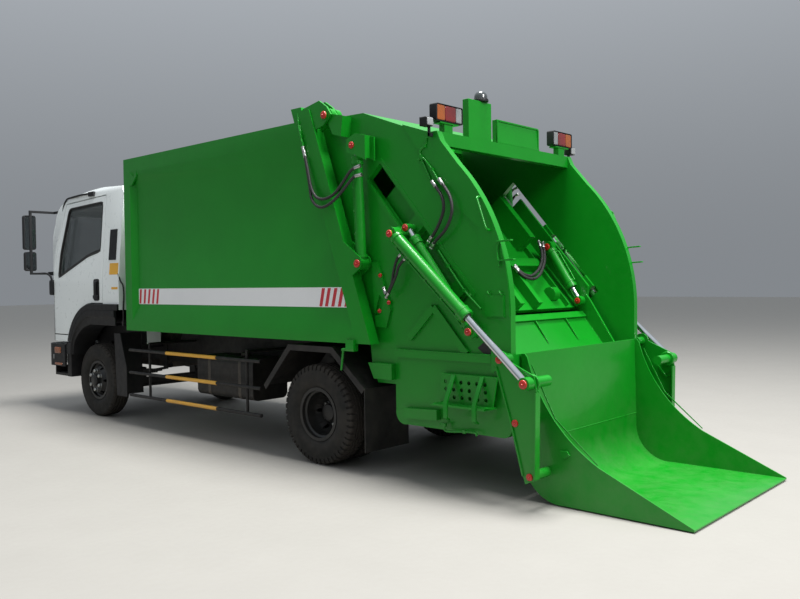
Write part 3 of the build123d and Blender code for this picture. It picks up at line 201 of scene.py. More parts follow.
@dataclass(frozen=True)
class Finish:
    """A sprayed, moulded or cast finish: two tones, a grain, a slow ripple and road dust.

    The tones are mixed by a broad noise. The grain and the ripple are bumps whose scale is one over a real
    wavelength. Dust is a third tone, laid where a patchy noise and the height above the ground allow it.
    """

    name: str
    tone: str
    deep_tone: str
    roughness: float
    roughness_spread: float = 0.08
    metallic: float = 0.0
    coat: float = 0.0
    coat_roughness: float = 0.08
    grain_mm: float = 4.0
    grain_depth_mm: float = 0.02
    ripple_mm: float = 0.0
    ripple_depth_mm: float = 0.0
    patch_mm: float = 450.0
    dust: Coverage = Coverage.NONE
    dust_tone: str = "8f857a"
    dust_amount: float = 0.5
    dust_height: float = 1.1
    specular: float = 0.5

    def build(self) -> bpy.types.Material:
        """Makes the material.

        Returns:
            The material, with the shader's even values on its own sockets.
        """
        graph = Graph(self.name)
        colour, roughness = self.tones(graph)
        if self.dust is not Coverage.NONE:
            colour, roughness = self.dusted(graph, colour, roughness)
        return graph.finished({
            "Base Color": colour, "Roughness": roughness, "Normal": self.relief(graph), "Metallic": self.metallic,
            "Coat Weight": self.coat, "Coat Roughness": self.coat_roughness, "Specular IOR Level": self.specular})

    def tones(self, graph: Graph) -> tuple[Socket, Socket]:
        """Mixes the two tones and spreads the roughness by a noise nine times finer.

        Args:
            graph: The material's nodes.

        Returns:
            The colour and the roughness.
        """
        waves = 1 / (self.patch_mm * MM)
        colour = graph.mix(graph.noise(waves, 4.0, 0.6), linear(self.tone), linear(self.deep_tone))
        ends = (max(self.roughness - self.roughness_spread, 0.02), self.roughness + self.roughness_spread)
        return colour, remap(graph.tree, graph.noise(9 * waves, 5.0), (0.3, 0.7), ends)

    def dusted(self, graph: Graph, colour: Socket, roughness: Socket) -> tuple[Socket, Socket]:
        """Lays road dust over the tones: patchy, and thickest near the ground where it is LOW.

        Args:
            graph: The material's nodes.
            colour: The clean colour.
            roughness: The clean roughness.

        Returns:
            The dusty colour and the dusty roughness.
        """
        tree = graph.tree
        amount = remap(tree, graph.noise(DUST_WAVES, 8.0, 0.68), DUST_RANGE, (0.0, self.dust_amount))
        if self.dust is Coverage.LOW:
            height = add_node(tree, "ShaderNodeSeparateXYZ", {"Vector": graph.place}).outputs["Z"]
            near_ground = remap(tree, height, (DUST_BASE_M, self.dust_height), (1.0, 0.0), smooth=True)
            amount = add_node(tree, "ShaderNodeMath", {0: amount, 1: near_ground},
                              operation="MULTIPLY").outputs[0]
        matt = add_node(tree, "ShaderNodeMix", {0: amount, 2: roughness, 3: DUST_ROUGHNESS},
                        data_type="FLOAT")
        return graph.mix(amount, colour, linear(self.dust_tone)), matt.outputs[0]

    def relief(self, graph: Graph) -> Socket:
        """Bumps: the grain, and under it the slow ripple of thin sheet where the finish has one.

        Args:
            graph: The material's nodes.

        Returns:
            The normal.
        """
        below = {}
        if self.ripple_mm > 0:
            below["Normal"] = graph.bump(graph.noise(1 / (self.ripple_mm * MM), 1.0), self.ripple_depth_mm)
        return graph.bump(graph.noise(1 / (self.grain_mm * MM), 2.0), self.grain_depth_mm, below)


@dataclass(frozen=True)
class Tread(Finish):
    """Tyre rubber: the sidewalls are cleaner black, and the tread is greyed by the road.

    Distance from the wheel's axis comes from a UV map whose U is the radius in metres.
    """

    sidewall_radius: float = 0.395
    shoulder_width: float = 0.03
    road_tone: str = "4d463f"
    road_share: float = 0.3

    def tones(self, graph: Graph) -> tuple[Socket, Socket]:
        """Greys the tread where the radius passes the shoulder.

        Args:
            graph: The material's nodes.

        Returns:
            The colour and the roughness.
        """
        colour, roughness = super().tones(graph)
        uv = add_node(graph.tree, "ShaderNodeUVMap", uv_map="radius").outputs["UV"]
        radius = add_node(graph.tree, "ShaderNodeSeparateXYZ", {"Vector": uv}).outputs["X"]
        shoulder = (self.sidewall_radius, self.sidewall_radius + self.shoulder_width)
        road = remap(graph.tree, radius, shoulder, (0.0, self.road_share))
        return graph.mix(road, colour, linear(self.road_tone)), roughness


@dataclass(frozen=True)
class Glass:
    """Tinted safety glass or a clear lamp lens: thin, smooth, partly see-through, smudged by a slow noise."""

    name: str
    tint: str
    opacity: float
    roughness: float = 0.03
    ribs_mm: float = 0.0
    rib_depth_mm: float = 0.6
    smudge_tone: str = "2a2f2e"
    smudge_roughness: float = 0.09

    def build(self) -> bpy.types.Material:
        """Makes the material; a lens has moulded ribs across X, each about ribs_mm wide and as far apart.

        Returns:
            The material.
        """
        graph = Graph(self.name)
        smudge = graph.noise(5.0, 6.0)
        ends = (self.roughness, self.roughness + self.smudge_roughness)
        wiped = remap(graph.tree, smudge, (0.35, 0.75), ends)
        inputs = {"Base Color": graph.mix(smudge, linear(self.tint), linear(self.smudge_tone)),
                  "Roughness": wiped, "IOR": 1.52, "Alpha": self.opacity, "Coat Weight": 0.4}
        if self.ribs_mm > 0:
            ribs = add_node(graph.tree, "ShaderNodeTexWave", {
                "Vector": graph.place, "Scale": 1 / (self.ribs_mm * MM) / 6.283}, bands_direction="X")
            inputs["Normal"] = graph.bump(ribs.outputs["Fac"], self.rib_depth_mm)
        return graph.finished(inputs)


# Two-pack enamel sprayed on plate: a mild gloss with orange peel, and thin sheet that ripples what it mirrors
GREEN_ENAMEL = Finish("green_two_pack_enamel", "0b861a", "067514", 0.36, 0.06, coat=0.16, coat_roughness=0.1,
                      grain_mm=5, grain_depth_mm=0.012, ripple_mm=380, ripple_depth_mm=1.2,
                      dust=Coverage.LOW, dust_amount=0.1, dust_height=0.8, specular=0.32)
# Baked cab enamel: a cooler white, smooth, with road film below the door
WHITE_ENAMEL = Finish("white_baked_enamel", "eef3f1", "e5ebea", 0.3, 0.04, coat=0.5, coat_roughness=0.06,
                      grain_mm=420, grain_depth_mm=0.06, dust=Coverage.LOW, dust_amount=0.28, dust_height=1.3)
# Chassis black brushed over scale: half matt, dusty all over
CHASSIS_BLACK = Finish("black_chassis_paint", "0b0c0c", "121212", 0.5, 0.1, grain_mm=9, grain_depth_mm=0.12,
                       dust=Coverage.ALL, dust_amount=0.07, specular=0.35)
# Wheel enamel: charcoal, with brake dust in the dish
WHEEL_PAINT = Finish("charcoal_wheel_enamel", "101213", "181a1a", 0.42, 0.08, grain_mm=6, grain_depth_mm=0.04,
                     dust=Coverage.ALL, dust_amount=0.08, dust_tone="7c7166", specular=0.4)
# Moulded black polypropylene: fine leather grain, greyed by sun
BLACK_PLASTIC = Finish("moulded_black_polypropylene", "0d0e10", "141517", 0.58, 0.06, grain_mm=2.2,
                       grain_depth_mm=0.1, dust=Coverage.LOW, dust_amount=0.07, dust_height=1.4, specular=0.35)
# Carbon-black tyre rubber: dull, with a road-grey tread
TYRE_RUBBER = Tread("carbon_black_tyre_rubber", "131413", "1c1c1a", 0.82, 0.06, grain_mm=3, grain_depth_mm=0.2,
                    dust=Coverage.ALL, dust_amount=0.2, dust_tone="5d554c", specular=0.35)
# Hard chrome on a ground rod: a bright, slightly hazed mirror
HARD_CHROME = Finish("hard_chromed_steel", "cfd2d4", "bfc3c6", 0.12, 0.04, metallic=1.0, grain_mm=0.8,
                     grain_depth_mm=0.002)
# Sand-cast iron: grey-black and pitted
CAST_IRON = Finish("sand_cast_iron", "2b2a29", "3a3733", 0.72, 0.08, metallic=0.35, grain_mm=3.5,
                   grain_depth_mm=0.35, dust=Coverage.ALL, dust_amount=0.45)
# Tinted cab glazing: grey-green, with the cab's dark inside showing through
SAFETY_GLASS = Glass("tinted_safety_glass", "3c4a48", 0.42)
# Nitrile lip seals and window rubbers: soft black with a faint bloom
SEAL_RUBBER = Finish("black_seal_rubber", "141414", "1e1d1c", 0.66, 0.06, grain_mm=1.6, grain_depth_mm=0.04)
# Wrapped hydraulic hose: the cover cloth leaves a fine grain that dulls the black
HOSE_RUBBER = Finish("wrapped_hydraulic_hose", "191919", "242423", 0.6, 0.08, grain_mm=1.2, grain_depth_mm=0.18,
                     patch_mm=90)
# Zinc plated hose fittings and wheel nuts: pale grey metal with a dull bloom
ZINC_FITTING = Finish("zinc_plated_fitting", "b9bbb8", "9b9c98", 0.34, 0.08, metallic=1.0, grain_mm=0.7,
                      grain_depth_mm=0.01, patch_mm=30)
# Bare steel of the tank's straps and cap: brown-grey film over metal
BARE_STEEL = Finish("filmed_bare_steel", "5b5853", "3c3936", 0.5, 0.1, metallic=0.8, grain_mm=1.5,
                    grain_depth_mm=0.03, patch_mm=60, dust=Coverage.ALL, dust_amount=0.35)
# Red-orange marking enamel on the pin caps: brushed by hand, so it keeps slow ridges
RED_ENAMEL = Finish("red_brushed_enamel", "bc2414", "9c1c10", 0.34, 0.06, coat=0.4, grain_mm=3, grain_depth_mm=0.05,
                    patch_mm=25)
# Vinyl marking films: flat, satin, and thin enough to show the panel's ripple
WHITE_FILM = Finish("white_marking_film", "e8e9ea", "dcdedf", 0.36, 0.04, grain_mm=2, grain_depth_mm=0.004,
                    ripple_mm=260, ripple_depth_mm=0.4)
RED_FILM = Finish("red_marking_film", "c8323c", "b42c36", 0.36, 0.04, grain_mm=2, grain_depth_mm=0.004,
                  ripple_mm=260, ripple_depth_mm=0.4)
# Slipped-on sleeves and patches: warm yellow, satin, dulled near the road
YELLOW_FILM = Finish("yellow_marking_sleeve", "e8b23a", "d89a26", 0.4, 0.06, grain_mm=2, grain_depth_mm=0.01,
                     dust=Coverage.LOW, dust_amount=0.3)
# Moulded lamp lenses: ribbed acrylic with a dark bowl behind
CLEAR_LENS = Glass("clear_ribbed_lens", "dfe3e4", 0.72, 0.08, ribs_mm=7)
RED_LENS = Glass("red_ribbed_lens", "a01c1e", 0.96, 0.1, ribs_mm=7)
AMBER_LENS = Glass("amber_ribbed_lens", "c2641e", 0.96, 0.1, ribs_mm=7)
# Weathered smoke-grey polycarbonate of the beacon
GREY_DOME = Finish("smoke_grey_polycarbonate", "3c4142", "2e3233", 0.22, 0.05, coat=0.5, grain_mm=5,
                   grain_depth_mm=0.01)
# Silvered mirror glass: a near-perfect mirror with the least trace of wave
MIRROR_SILVER = Finish("silvered_mirror_glass", "dfe3e6", "d6dadd", 0.03, 0.01, metallic=1.0, grain_mm=9,
                       grain_depth_mm=0.0005)
# Woven seat cloth over foam: grey, matt, with a visible thread
SEAT_CLOTH = Finish("woven_grey_seat_cloth", "55585c", "45484c", 0.85, 0.05, grain_mm=2.4, grain_depth_mm=0.5,
                    patch_mm=120)
# Painted studio floor: pale, warm and matt
STUDIO_FLOOR = Finish("pale_studio_floor", "8f8c86", "898680", 0.7, 0.04, grain_mm=6, grain_depth_mm=0.05)


@dataclass(frozen=True)
class Zone:
    """Faces of a node with a finish of their own: those whose middle is in a box of |x|, station and height."""

    finish: Finish | Glass
    low: tuple
    high: tuple


DOOR_LOCK = Zone(BLACK_PLASTIC, (1041, 120, 1395), (1070, 240, 1445))
# Rod ends are cast eyes painted with the barrels, not chromed
ZONES = {
    "bucket_rods": (Zone(GREEN_ENAMEL, (1070, 6110, 805), (1170, 6240, 915)),),
    "lift_rods": (Zone(GREEN_ENAMEL, (1000, 4480, 2590), (1095, 4580, 2700)),),
    "carriage_rods": (Zone(GREEN_ENAMEL, (960, 4990, 1920), (1050, 5090, 2010)),),
    "blade_rods": (Zone(GREEN_ENAMEL, (740, 5420, 1310), (820, 5530, 1415)),),
    "cab_shell": (Zone(BLACK_PLASTIC, (-1, -1000, 700), (1036, 689, 1290)),),
    "front_bumper": (Zone(BLACK_PLASTIC, (-1, -1080, 500), (1100, -600, 900)),),
    "door_left": (DOOR_LOCK,), "door_right": (DOOR_LOCK,),
}


def unit(vectors: np.ndarray) -> np.ndarray:
    """Divides each row by its own length."""
    return vectors / np.maximum(np.linalg.norm(vectors, axis=-1, keepdims=True), 1e-9)


def ring(radius: float, sides: int) -> np.ndarray:
    """Points (radius cos a, radius sin a) at even angles a."""
    angle = np.linspace(0, 2 * np.pi, sides, endpoint=False)
    return radius * np.stack((np.cos(angle), np.sin(angle)), axis=-1)


def smooth_route(knots: list | np.ndarray, per_leg: int = 10) -> np.ndarray:
    """Curve through given knots.

    Each leg from p1 to p2 is (2 p1 + (p2 - p0) t + (2 p0 - 5 p1 + 4 p2 - p3) t^2 + (3 p1 - p0 - 3 p2 + p3) t^3) / 2
    for t from 0 to 1, with p0 and p3 the knots before and after it.

    Args:
        knots: Points in order.
        per_leg: Samples on each leg.

    Returns:
        The sampled points.
    """
    p = np.asarray(knots, float)
    p = np.vstack((2 * p[:1] - p[1:2], p, 2 * p[-1:] - p[-2:-1]))
    p0, p1, p2, p3 = (p[i:len(p) - 3 + i, None] for i in range(4))
    t = np.linspace(0, 1, per_leg, endpoint=False)[None, :, None]
    legs = (2 * p1 + (p2 - p0) * t + (2 * p0 - 5 * p1 + 4 * p2 - p3) * t ** 2
            + (3 * p1 - p0 - 3 * p2 + p3) * t ** 3) / 2
    return np.vstack((legs.reshape(-1, p.shape[-1]), p[-2:-1]))


def spread(x: tuple, knots: tuple, per_leg: int) -> np.ndarray:
    """Smooth route through knots of station and height, with values of x spread evenly along them.

    Args:
        x: Values of x from the first knot to the last.
        knots: Rows of station and height.
        per_leg: Samples between two knots.

    Returns:
        The route's points.
    """
    across = np.interp(np.linspace(0, 1, len(knots)), np.linspace(0, 1, len(x)), x)
    return smooth_route(np.column_stack((across, np.asarray(knots, float))), per_leg)


def rounded(corners: list | np.ndarray, radius: float, steps: int = 4) -> np.ndarray:
    """Closed outline with each corner cut back and turned on a quadratic arc.

    The arc at corner c between tangent points a and b is (1 - t)^2 a + 2 t (1 - t) c + t^2 b.

    Args:
        corners: The outline's corners.
        radius: How far the cut goes back from a corner, held to 45% of the shorter side there.
        steps: Points less one on each arc.

    Returns:
        The outline's points.
    """
    c = np.asarray(corners, float)
    before, after = np.roll(c, 1, axis=0) - c, np.roll(c, -1, axis=0) - c
    shorter = np.minimum(np.linalg.norm(before, axis=1), np.linalg.norm(after, axis=1))
    reach = np.minimum(radius, 0.45 * shorter)
    a, b = c + unit(before) * reach[:, None], c + unit(after) * reach[:, None]
    t = np.linspace(0, 1, steps + 1)[None, :, None]
    arcs = (1 - t) ** 2 * a[:, None] + 2 * t * (1 - t) * c[:, None] + t ** 2 * b[:, None]
    return arcs.reshape(-1, c.shape[1])


def oblong(low: tuple, high: tuple) -> list:
    """Corners of a rectangle between two of its corners, in order."""
    return [low, (high[0], low[1]), high, (low[0], high[1])]


@dataclass
class Shape:
    """A surface in millimetres: points as x, station and height, and faces as rows of point numbers."""

    points: np.ndarray
    faces: list[np.ndarray]

    def __add__(self, other: Shape) -> Shape:
        """Both surfaces as one."""
        return Shape.join([self, other])

    @staticmethod
    def join(shapes: list[Shape]) -> Shape:
        """All surfaces as one, each one's point numbers raised by the points before it.

        Args:
            shapes: The surfaces.

        Returns:
            The joined surface.
        """
        shifts = np.cumsum([0] + [len(shape.points) for shape in shapes])
        faces = [rows + shift for shape, shift in zip(shapes, shifts) for rows in shape.faces]
        return Shape(np.vstack([shape.points for shape in shapes]), faces)

    def on(self, side: int) -> Shape:
        """The surface for the left side, and for the right its mirror image with the faces still outward."""
        return self if side > 0 else Shape(self.points * (-1, 1, 1), [rows[:, ::-1] for rows in self.faces])

    @staticmethod
    def grid(points: np.ndarray, around: bool = True, along: bool = False, caps: bool = True) -> Shape:
        """Quads on rows by columns of points.

        Args:
            points: Array of rows, columns and three numbers.
            around: Whether the last column joins the first.
            along: Whether the last row joins the first.
            caps: Whether the first and last rows are closed by a face each.

        Returns:
            The surface.
        """
        rows, columns = points.shape[:2]
        numbers = np.arange(rows * columns).reshape(rows, columns)
        ends = [numbers[:1, ::-1], numbers[-1:]] if caps and around and not along else []
        numbers = np.vstack((numbers, numbers[:1])) if along else numbers
        numbers = np.hstack((numbers, numbers[:, :1])) if around else numbers
        quads = np.stack((numbers[:-1, :-1], numbers[:-1, 1:], numbers[1:, 1:], numbers[1:, :-1]), axis=-1)
        return Shape(points.reshape(-1, 3), [quads.reshape(-1, 4)] + ends)

    @staticmethod
    def swept(path: np.ndarray, section: np.ndarray, across: tuple = (1, 0, 0),
              closed: bool = False) -> Shape:
        """A section carried along a path.

        A section point (a, b) lies at p + a s + b (t x s), where t is the path's direction and s is the part of
        the across vector that is square to it.

        Args:
            path: Points of the path.
            section: Points of the section, either one outline or one for each point of the path.
            across: Direction of the section's first axis.
            closed: Whether the path closes on itself.

        Returns:
            The swept surface, with its ends closed.
        """
        path = np.asarray(path, float)
        steps = np.roll(path, -1, axis=0) - np.roll(path, 1, axis=0) if closed else np.gradient(path, axis=0)
        tangent = unit(steps)
        side = np.broadcast_to(np.asarray(across, float), tangent.shape)
        side = unit(side - (side * tangent).sum(axis=1, keepdims=True) * tangent)
        up = np.cross(tangent, side)
        section = section if section.ndim == 3 else section[None]
        points = path[:, None] + section[..., :1] * side[:, None] + section[..., 1:] * up[:, None]
        return Shape.grid(points, around=True, along=closed)

    @staticmethod
    def tube(path: np.ndarray, radius: float, sides: int = 12, across: tuple = (1, 0, 0)) -> Shape:
        """Round tube along a path."""
        return Shape.swept(path, ring(radius, sides), across)

    @staticmethod
    def turned(start: tuple, direction: tuple, profile: list | tuple, sides: int = 24) -> Shape:
        """Body of revolution: profile rows (along, radius) about a line from a start in a direction.

        Args:
            start: Point on the axis.
            direction: The axis.
            profile: Rows of distance along the axis and radius.
            sides: Points round the axis.

        Returns:
            The turned surface, with its ends closed.
        """
        axis = unit(np.asarray(direction, float))
        first = unit(np.cross(axis, (0, 0, 1) if abs(axis[2]) < 0.9 else (0, 1, 0)))
        second = np.cross(axis, first)
        rows, circle = np.asarray(profile, float), ring(1.0, sides)
        radial = circle[:, :1] * first + circle[:, 1:] * second
        points = np.asarray(start, float) + rows[:, None, :1] * axis + rows[:, None, 1:] * radial[None]
        return Shape.grid(points)

    @staticmethod
    def sheet(outline: list | np.ndarray, low: float, high: float, plane: str = "side") -> Shape:
        """Prism of an outline.

        Args:
            outline: Rows of station and height for "side", x and height for "front", x and station for "plan".
            low: Where the prism starts on the axis square to the plane.
            high: Where it ends.
            plane: Which plane the outline lies in.

        Returns:
            The closed prism.
        """
        flat = np.asarray(outline, float)
        places = {"side": (1, 2, 0), "front": (0, 2, 1), "plan": (0, 1, 2)}[plane]
        points = np.empty((2, len(flat), 3))
        points[:, :, places[0]], points[:, :, places[1]] = flat[:, 0], flat[:, 1]
        points[0, :, places[2]], points[1, :, places[2]] = low, high
        return Shape.grid(points)

    @staticmethod
    def block(x0: float, x1: float, s0: float, s1: float, z0: float, z1: float, corner: float = 6) -> Shape:
        """Block with round upright corners, given by its ranges in x, station and height."""
        return Shape.sheet(rounded(oblong((x0, s0), (x1, s1)), corner, 3), z0, z1, "plan")

    @staticmethod
    def pillow(low: tuple, high: tuple, power: float = 7, count: int = 36) -> tuple[Shape, np.ndarray]:
        """Crowned block: points q of a cube's surface are drawn in to q / |q| in the p-norm.

        Args:
            low: Lowest corner.
            high: Highest corner.
            power: The norm's p; the higher, the squarer.
            count: Points along a cube edge.

        Returns:
            The surface and each point's place in the cube from -1 to 1.
        """
        t = np.linspace(-1, 1, count)
        u, v = np.meshgrid(t, t, indexing="ij")
        one = np.ones_like(u)
        sides = ((u, v, one), (v, u, -one), (v, one, u), (u, -one, v), (one, u, v), (-one, v, u))
        cube = Shape.join([Shape.grid(np.stack(side, axis=-1), around=False, caps=False) for side in sides])
        drawn = cube.points / (np.abs(cube.points) ** power).sum(axis=1, keepdims=True) ** (1 / power)
        return Shape(np.add(low, high) / 2 + drawn * np.subtract(high, low) / 2, cube.faces), drawn


def round_edges(obj: bpy.types.Object, width_mm: float) -> None:
    """Adds a two-step bevel to the edges sharper than the crease angle.

    Args:
        obj: The piece.
        width_mm: The bevel's width.
    """
    bevel = obj.modifiers.new("round", "BEVEL")
    bevel.width = width_mm * MM
    bevel.segments = 2
    bevel.limit_method = "ANGLE"
    bevel.angle_limit = SHARP
    bevel.use_clamp_overlap = True
    bevel.harden_normals = True


@dataclass
class Workshop:
    """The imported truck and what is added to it."""

    frame: dict
    finishes: dict[str, bpy.types.Material] = field(default_factory=dict)

    def __post_init__(self) -> None:
        """Reads the bodies, the slots and the front axle's place from the record."""
        record = self.frame["record"]
        behaviour = record["behaviour"]
        self.body_of = {node: body for body, nodes in behaviour["bodies"].items() for node in nodes}
        self.slot_of = {part["node"]: part["material_slot"] for part in record["subparts"]}
        axle = next(joint for joint in behaviour["joints"] if joint["name"] == "spin_front_left")
        self.axle_y = axle["pos_m"][1] / MM

    def material(self, finish: Finish | Glass) -> bpy.types.Material:
        """The finish's material, made on first use.

        Args:
            finish: The finish.

        Returns:
            Its material.
        """
        if finish.name not in self.finishes:
            self.finishes[finish.name] = finish.build()
        return self.finishes[finish.name]

    def to_frame(self, points: np.ndarray) -> np.ndarray:
        """Points given as x, station and height in millimetres, in the frame's metres."""
        return (np.asarray(points, float) + (0, self.axle_y, 0)) * MM

    def add(self, name: str, shape: Shape, finish: Finish | Glass, body: str, replaces: tuple = (),
            round_mm: float = 0.0, smooth: bool = True, merge: bool = True,
            both: bool = False) -> bpy.types.Object:
        """Adds a piece at the frame's place and lets it ride on a body.

        Args:
            name: The piece's name.
            shape: Its surface in millimetres.
            finish: Its finish.
            body: The body that it rides on.
            replaces: Nodes that it stands for.
            round_mm: Edge rounding, or none at zero.
            smooth: Whether curved faces are shaded smooth.
            merge: Whether doubles are merged and the faces turned outward.
            both: Whether its mirror image on the other side belongs to it.

        Returns:
            The object.
        """
        shape = shape + shape.on(-1) if both else shape
        mesh = bpy.data.meshes.new(name)
        faces = [row for rows in shape.faces for row in rows.tolist()]
        mesh.from_pydata(self.to_frame(shape.points), [], faces)
        if merge:
            work = bmesh.new()
            work.from_mesh(mesh)
            bmesh.ops.remove_doubles(work, verts=work.verts, dist=MERGE_M)
            bmesh.ops.recalc_face_normals(work, faces=work.faces)
            for edge in work.edges:
                edge.smooth = smooth and edge.calc_face_angle(0.0) < SHARP
            work.to_mesh(mesh)
            work.free()
        mesh.polygons.foreach_set("use_smooth", np.full(len(mesh.polygons), smooth))
        mesh.materials.append(self.material(finish))
        obj = bpy.data.objects.new(name, mesh)
        bpy.context.scene.collection.objects.link(obj)
        if round_mm > 0:
            round_edges(obj, round_mm)
        if replaces:
            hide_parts(*replaces)
        if body:
            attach(obj, body)
        log.info("made %s: %d faces", name, len(mesh.polygons))
        return obj


@dataclass
class NodeDressing:
    """A CAD node shown as a merged copy, with round edges, smooth curves and its finish."""

    node: str
    finish: Finish | Glass
    zones: tuple = ()
    round_mm: float = 2.5
    flat_deg: float = 0.6

    def build(self, shop: Workshop) -> None:
        """Copies, merges and smooths the node's mesh, and stands it in for the node.

        Args:
            shop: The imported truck.
        """
        mesh = bpy.data.objects[self.node].data.copy()
        mesh.name = f"{self.node}_skin"
        work = bmesh.new()
        work.from_mesh(mesh)
        bmesh.ops.remove_doubles(work, verts=work.verts, dist=MERGE_M)
        bmesh.ops.dissolve_limit(work, angle_limit=np.radians(self.flat_deg), verts=work.verts,
                                 edges=work.edges, delimit={"NORMAL"})
        for edge in work.edges:
            edge.smooth = len(edge.link_faces) == 2 and edge.calc_face_angle(0.0) < SHARP
        for face in work.faces:
            face.smooth = True
        work.to_mesh(mesh)
        work.free()
        if mesh.has_custom_normals:
            mesh.attributes.remove(mesh.attributes["custom_normal"])
        mesh.materials.clear()
        mesh.materials.append(shop.material(self.finish))
        self.paint_zones(mesh, shop)
        obj = bpy.data.objects.new(mesh.name, mesh)
        bpy.context.scene.collection.objects.link(obj)
        round_edges(obj, self.round_mm)
        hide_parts(self.node)
        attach(obj, shop.body_of[self.node])

    def paint_zones(self, mesh: bpy.types.Mesh, shop: Workshop) -> None:
        """Gives the faces inside each zone that zone's finish.

        Args:
            mesh: The merged copy.
            shop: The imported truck.
        """
        middles = np.empty(len(mesh.polygons) * 3)
        mesh.polygons.foreach_get("center", middles)
        middles = middles.reshape(-1, 3) / MM - (0, shop.axle_y, 0)
        middles[:, 0] = np.abs(middles[:, 0])
        index = np.zeros(len(middles), dtype=int)
        for number, zone in enumerate(self.zones, 1):
            mesh.materials.append(shop.material(zone.finish))
            index[((middles > zone.low) & (middles < zone.high)).all(axis=1)] = number
        mesh.polygons.foreach_set("material_index", index)


# Fixed places of the truck, as station and height in millimetres
HINGE = (4204, 2933)
LIFT_LOW = (4572, 1701)
LIFT_HIGH = (4530, 2646)
BUCKET_PIVOT = (5930, 1006)
BUCKET_BASE = (4989, 1917)
BUCKET_EYE = (6173, 860)
CARRIAGE_LOW = (5641, 1187)
CARRIAGE_HIGH = (5039, 1963)
BLADE_BASE = (5170, 1852)
BLADE_EYE = (5479, 1362)
REAR_AXLE = 4000
DOOR_WINDOW = [(-800, 1650), (-780, 1960), (-620, 2500), (225, 2530), (232, 1950), (-60, 1900)]


def slot_point(t: float, n: float) -> tuple[float, float]:
    """Station and height of a point t along and n across the packer's slots, which fall at 49 degrees."""
    return 0.6531 * t + 0.7572 * n, 0.6531 * n - 0.7572 * t


def slanted(x0: float, x1: float, t0: float, t1: float, n0: float, n1: float) -> Shape:
    """Block that lies along the packer's slots, between two values of x, t and n."""
    return Shape.sheet([slot_point(*corner) for corner in oblong((t0, n0), (t1, n1))], x0, x1)


def cab_side(height: np.ndarray | float) -> np.ndarray | float:
    """Half width of the cab at a height: it narrows by 90 mm from 1600 to 2640 mm."""
    return 1040 - 90 * np.clip((np.asarray(height, float) - 1600) / 1040, 0, 1)


class Pattern(Enum):
    """Tyre patterns: middles of the grooves, the shoulder's inner x and radius, and the depth of its gaps."""

    RIB = ((56.0, 20.0, -20.0, -56.0), 72, 408, 6.0)
    LUG = ((34.0, 0.0, -34.0), 48, 384, 12.0)


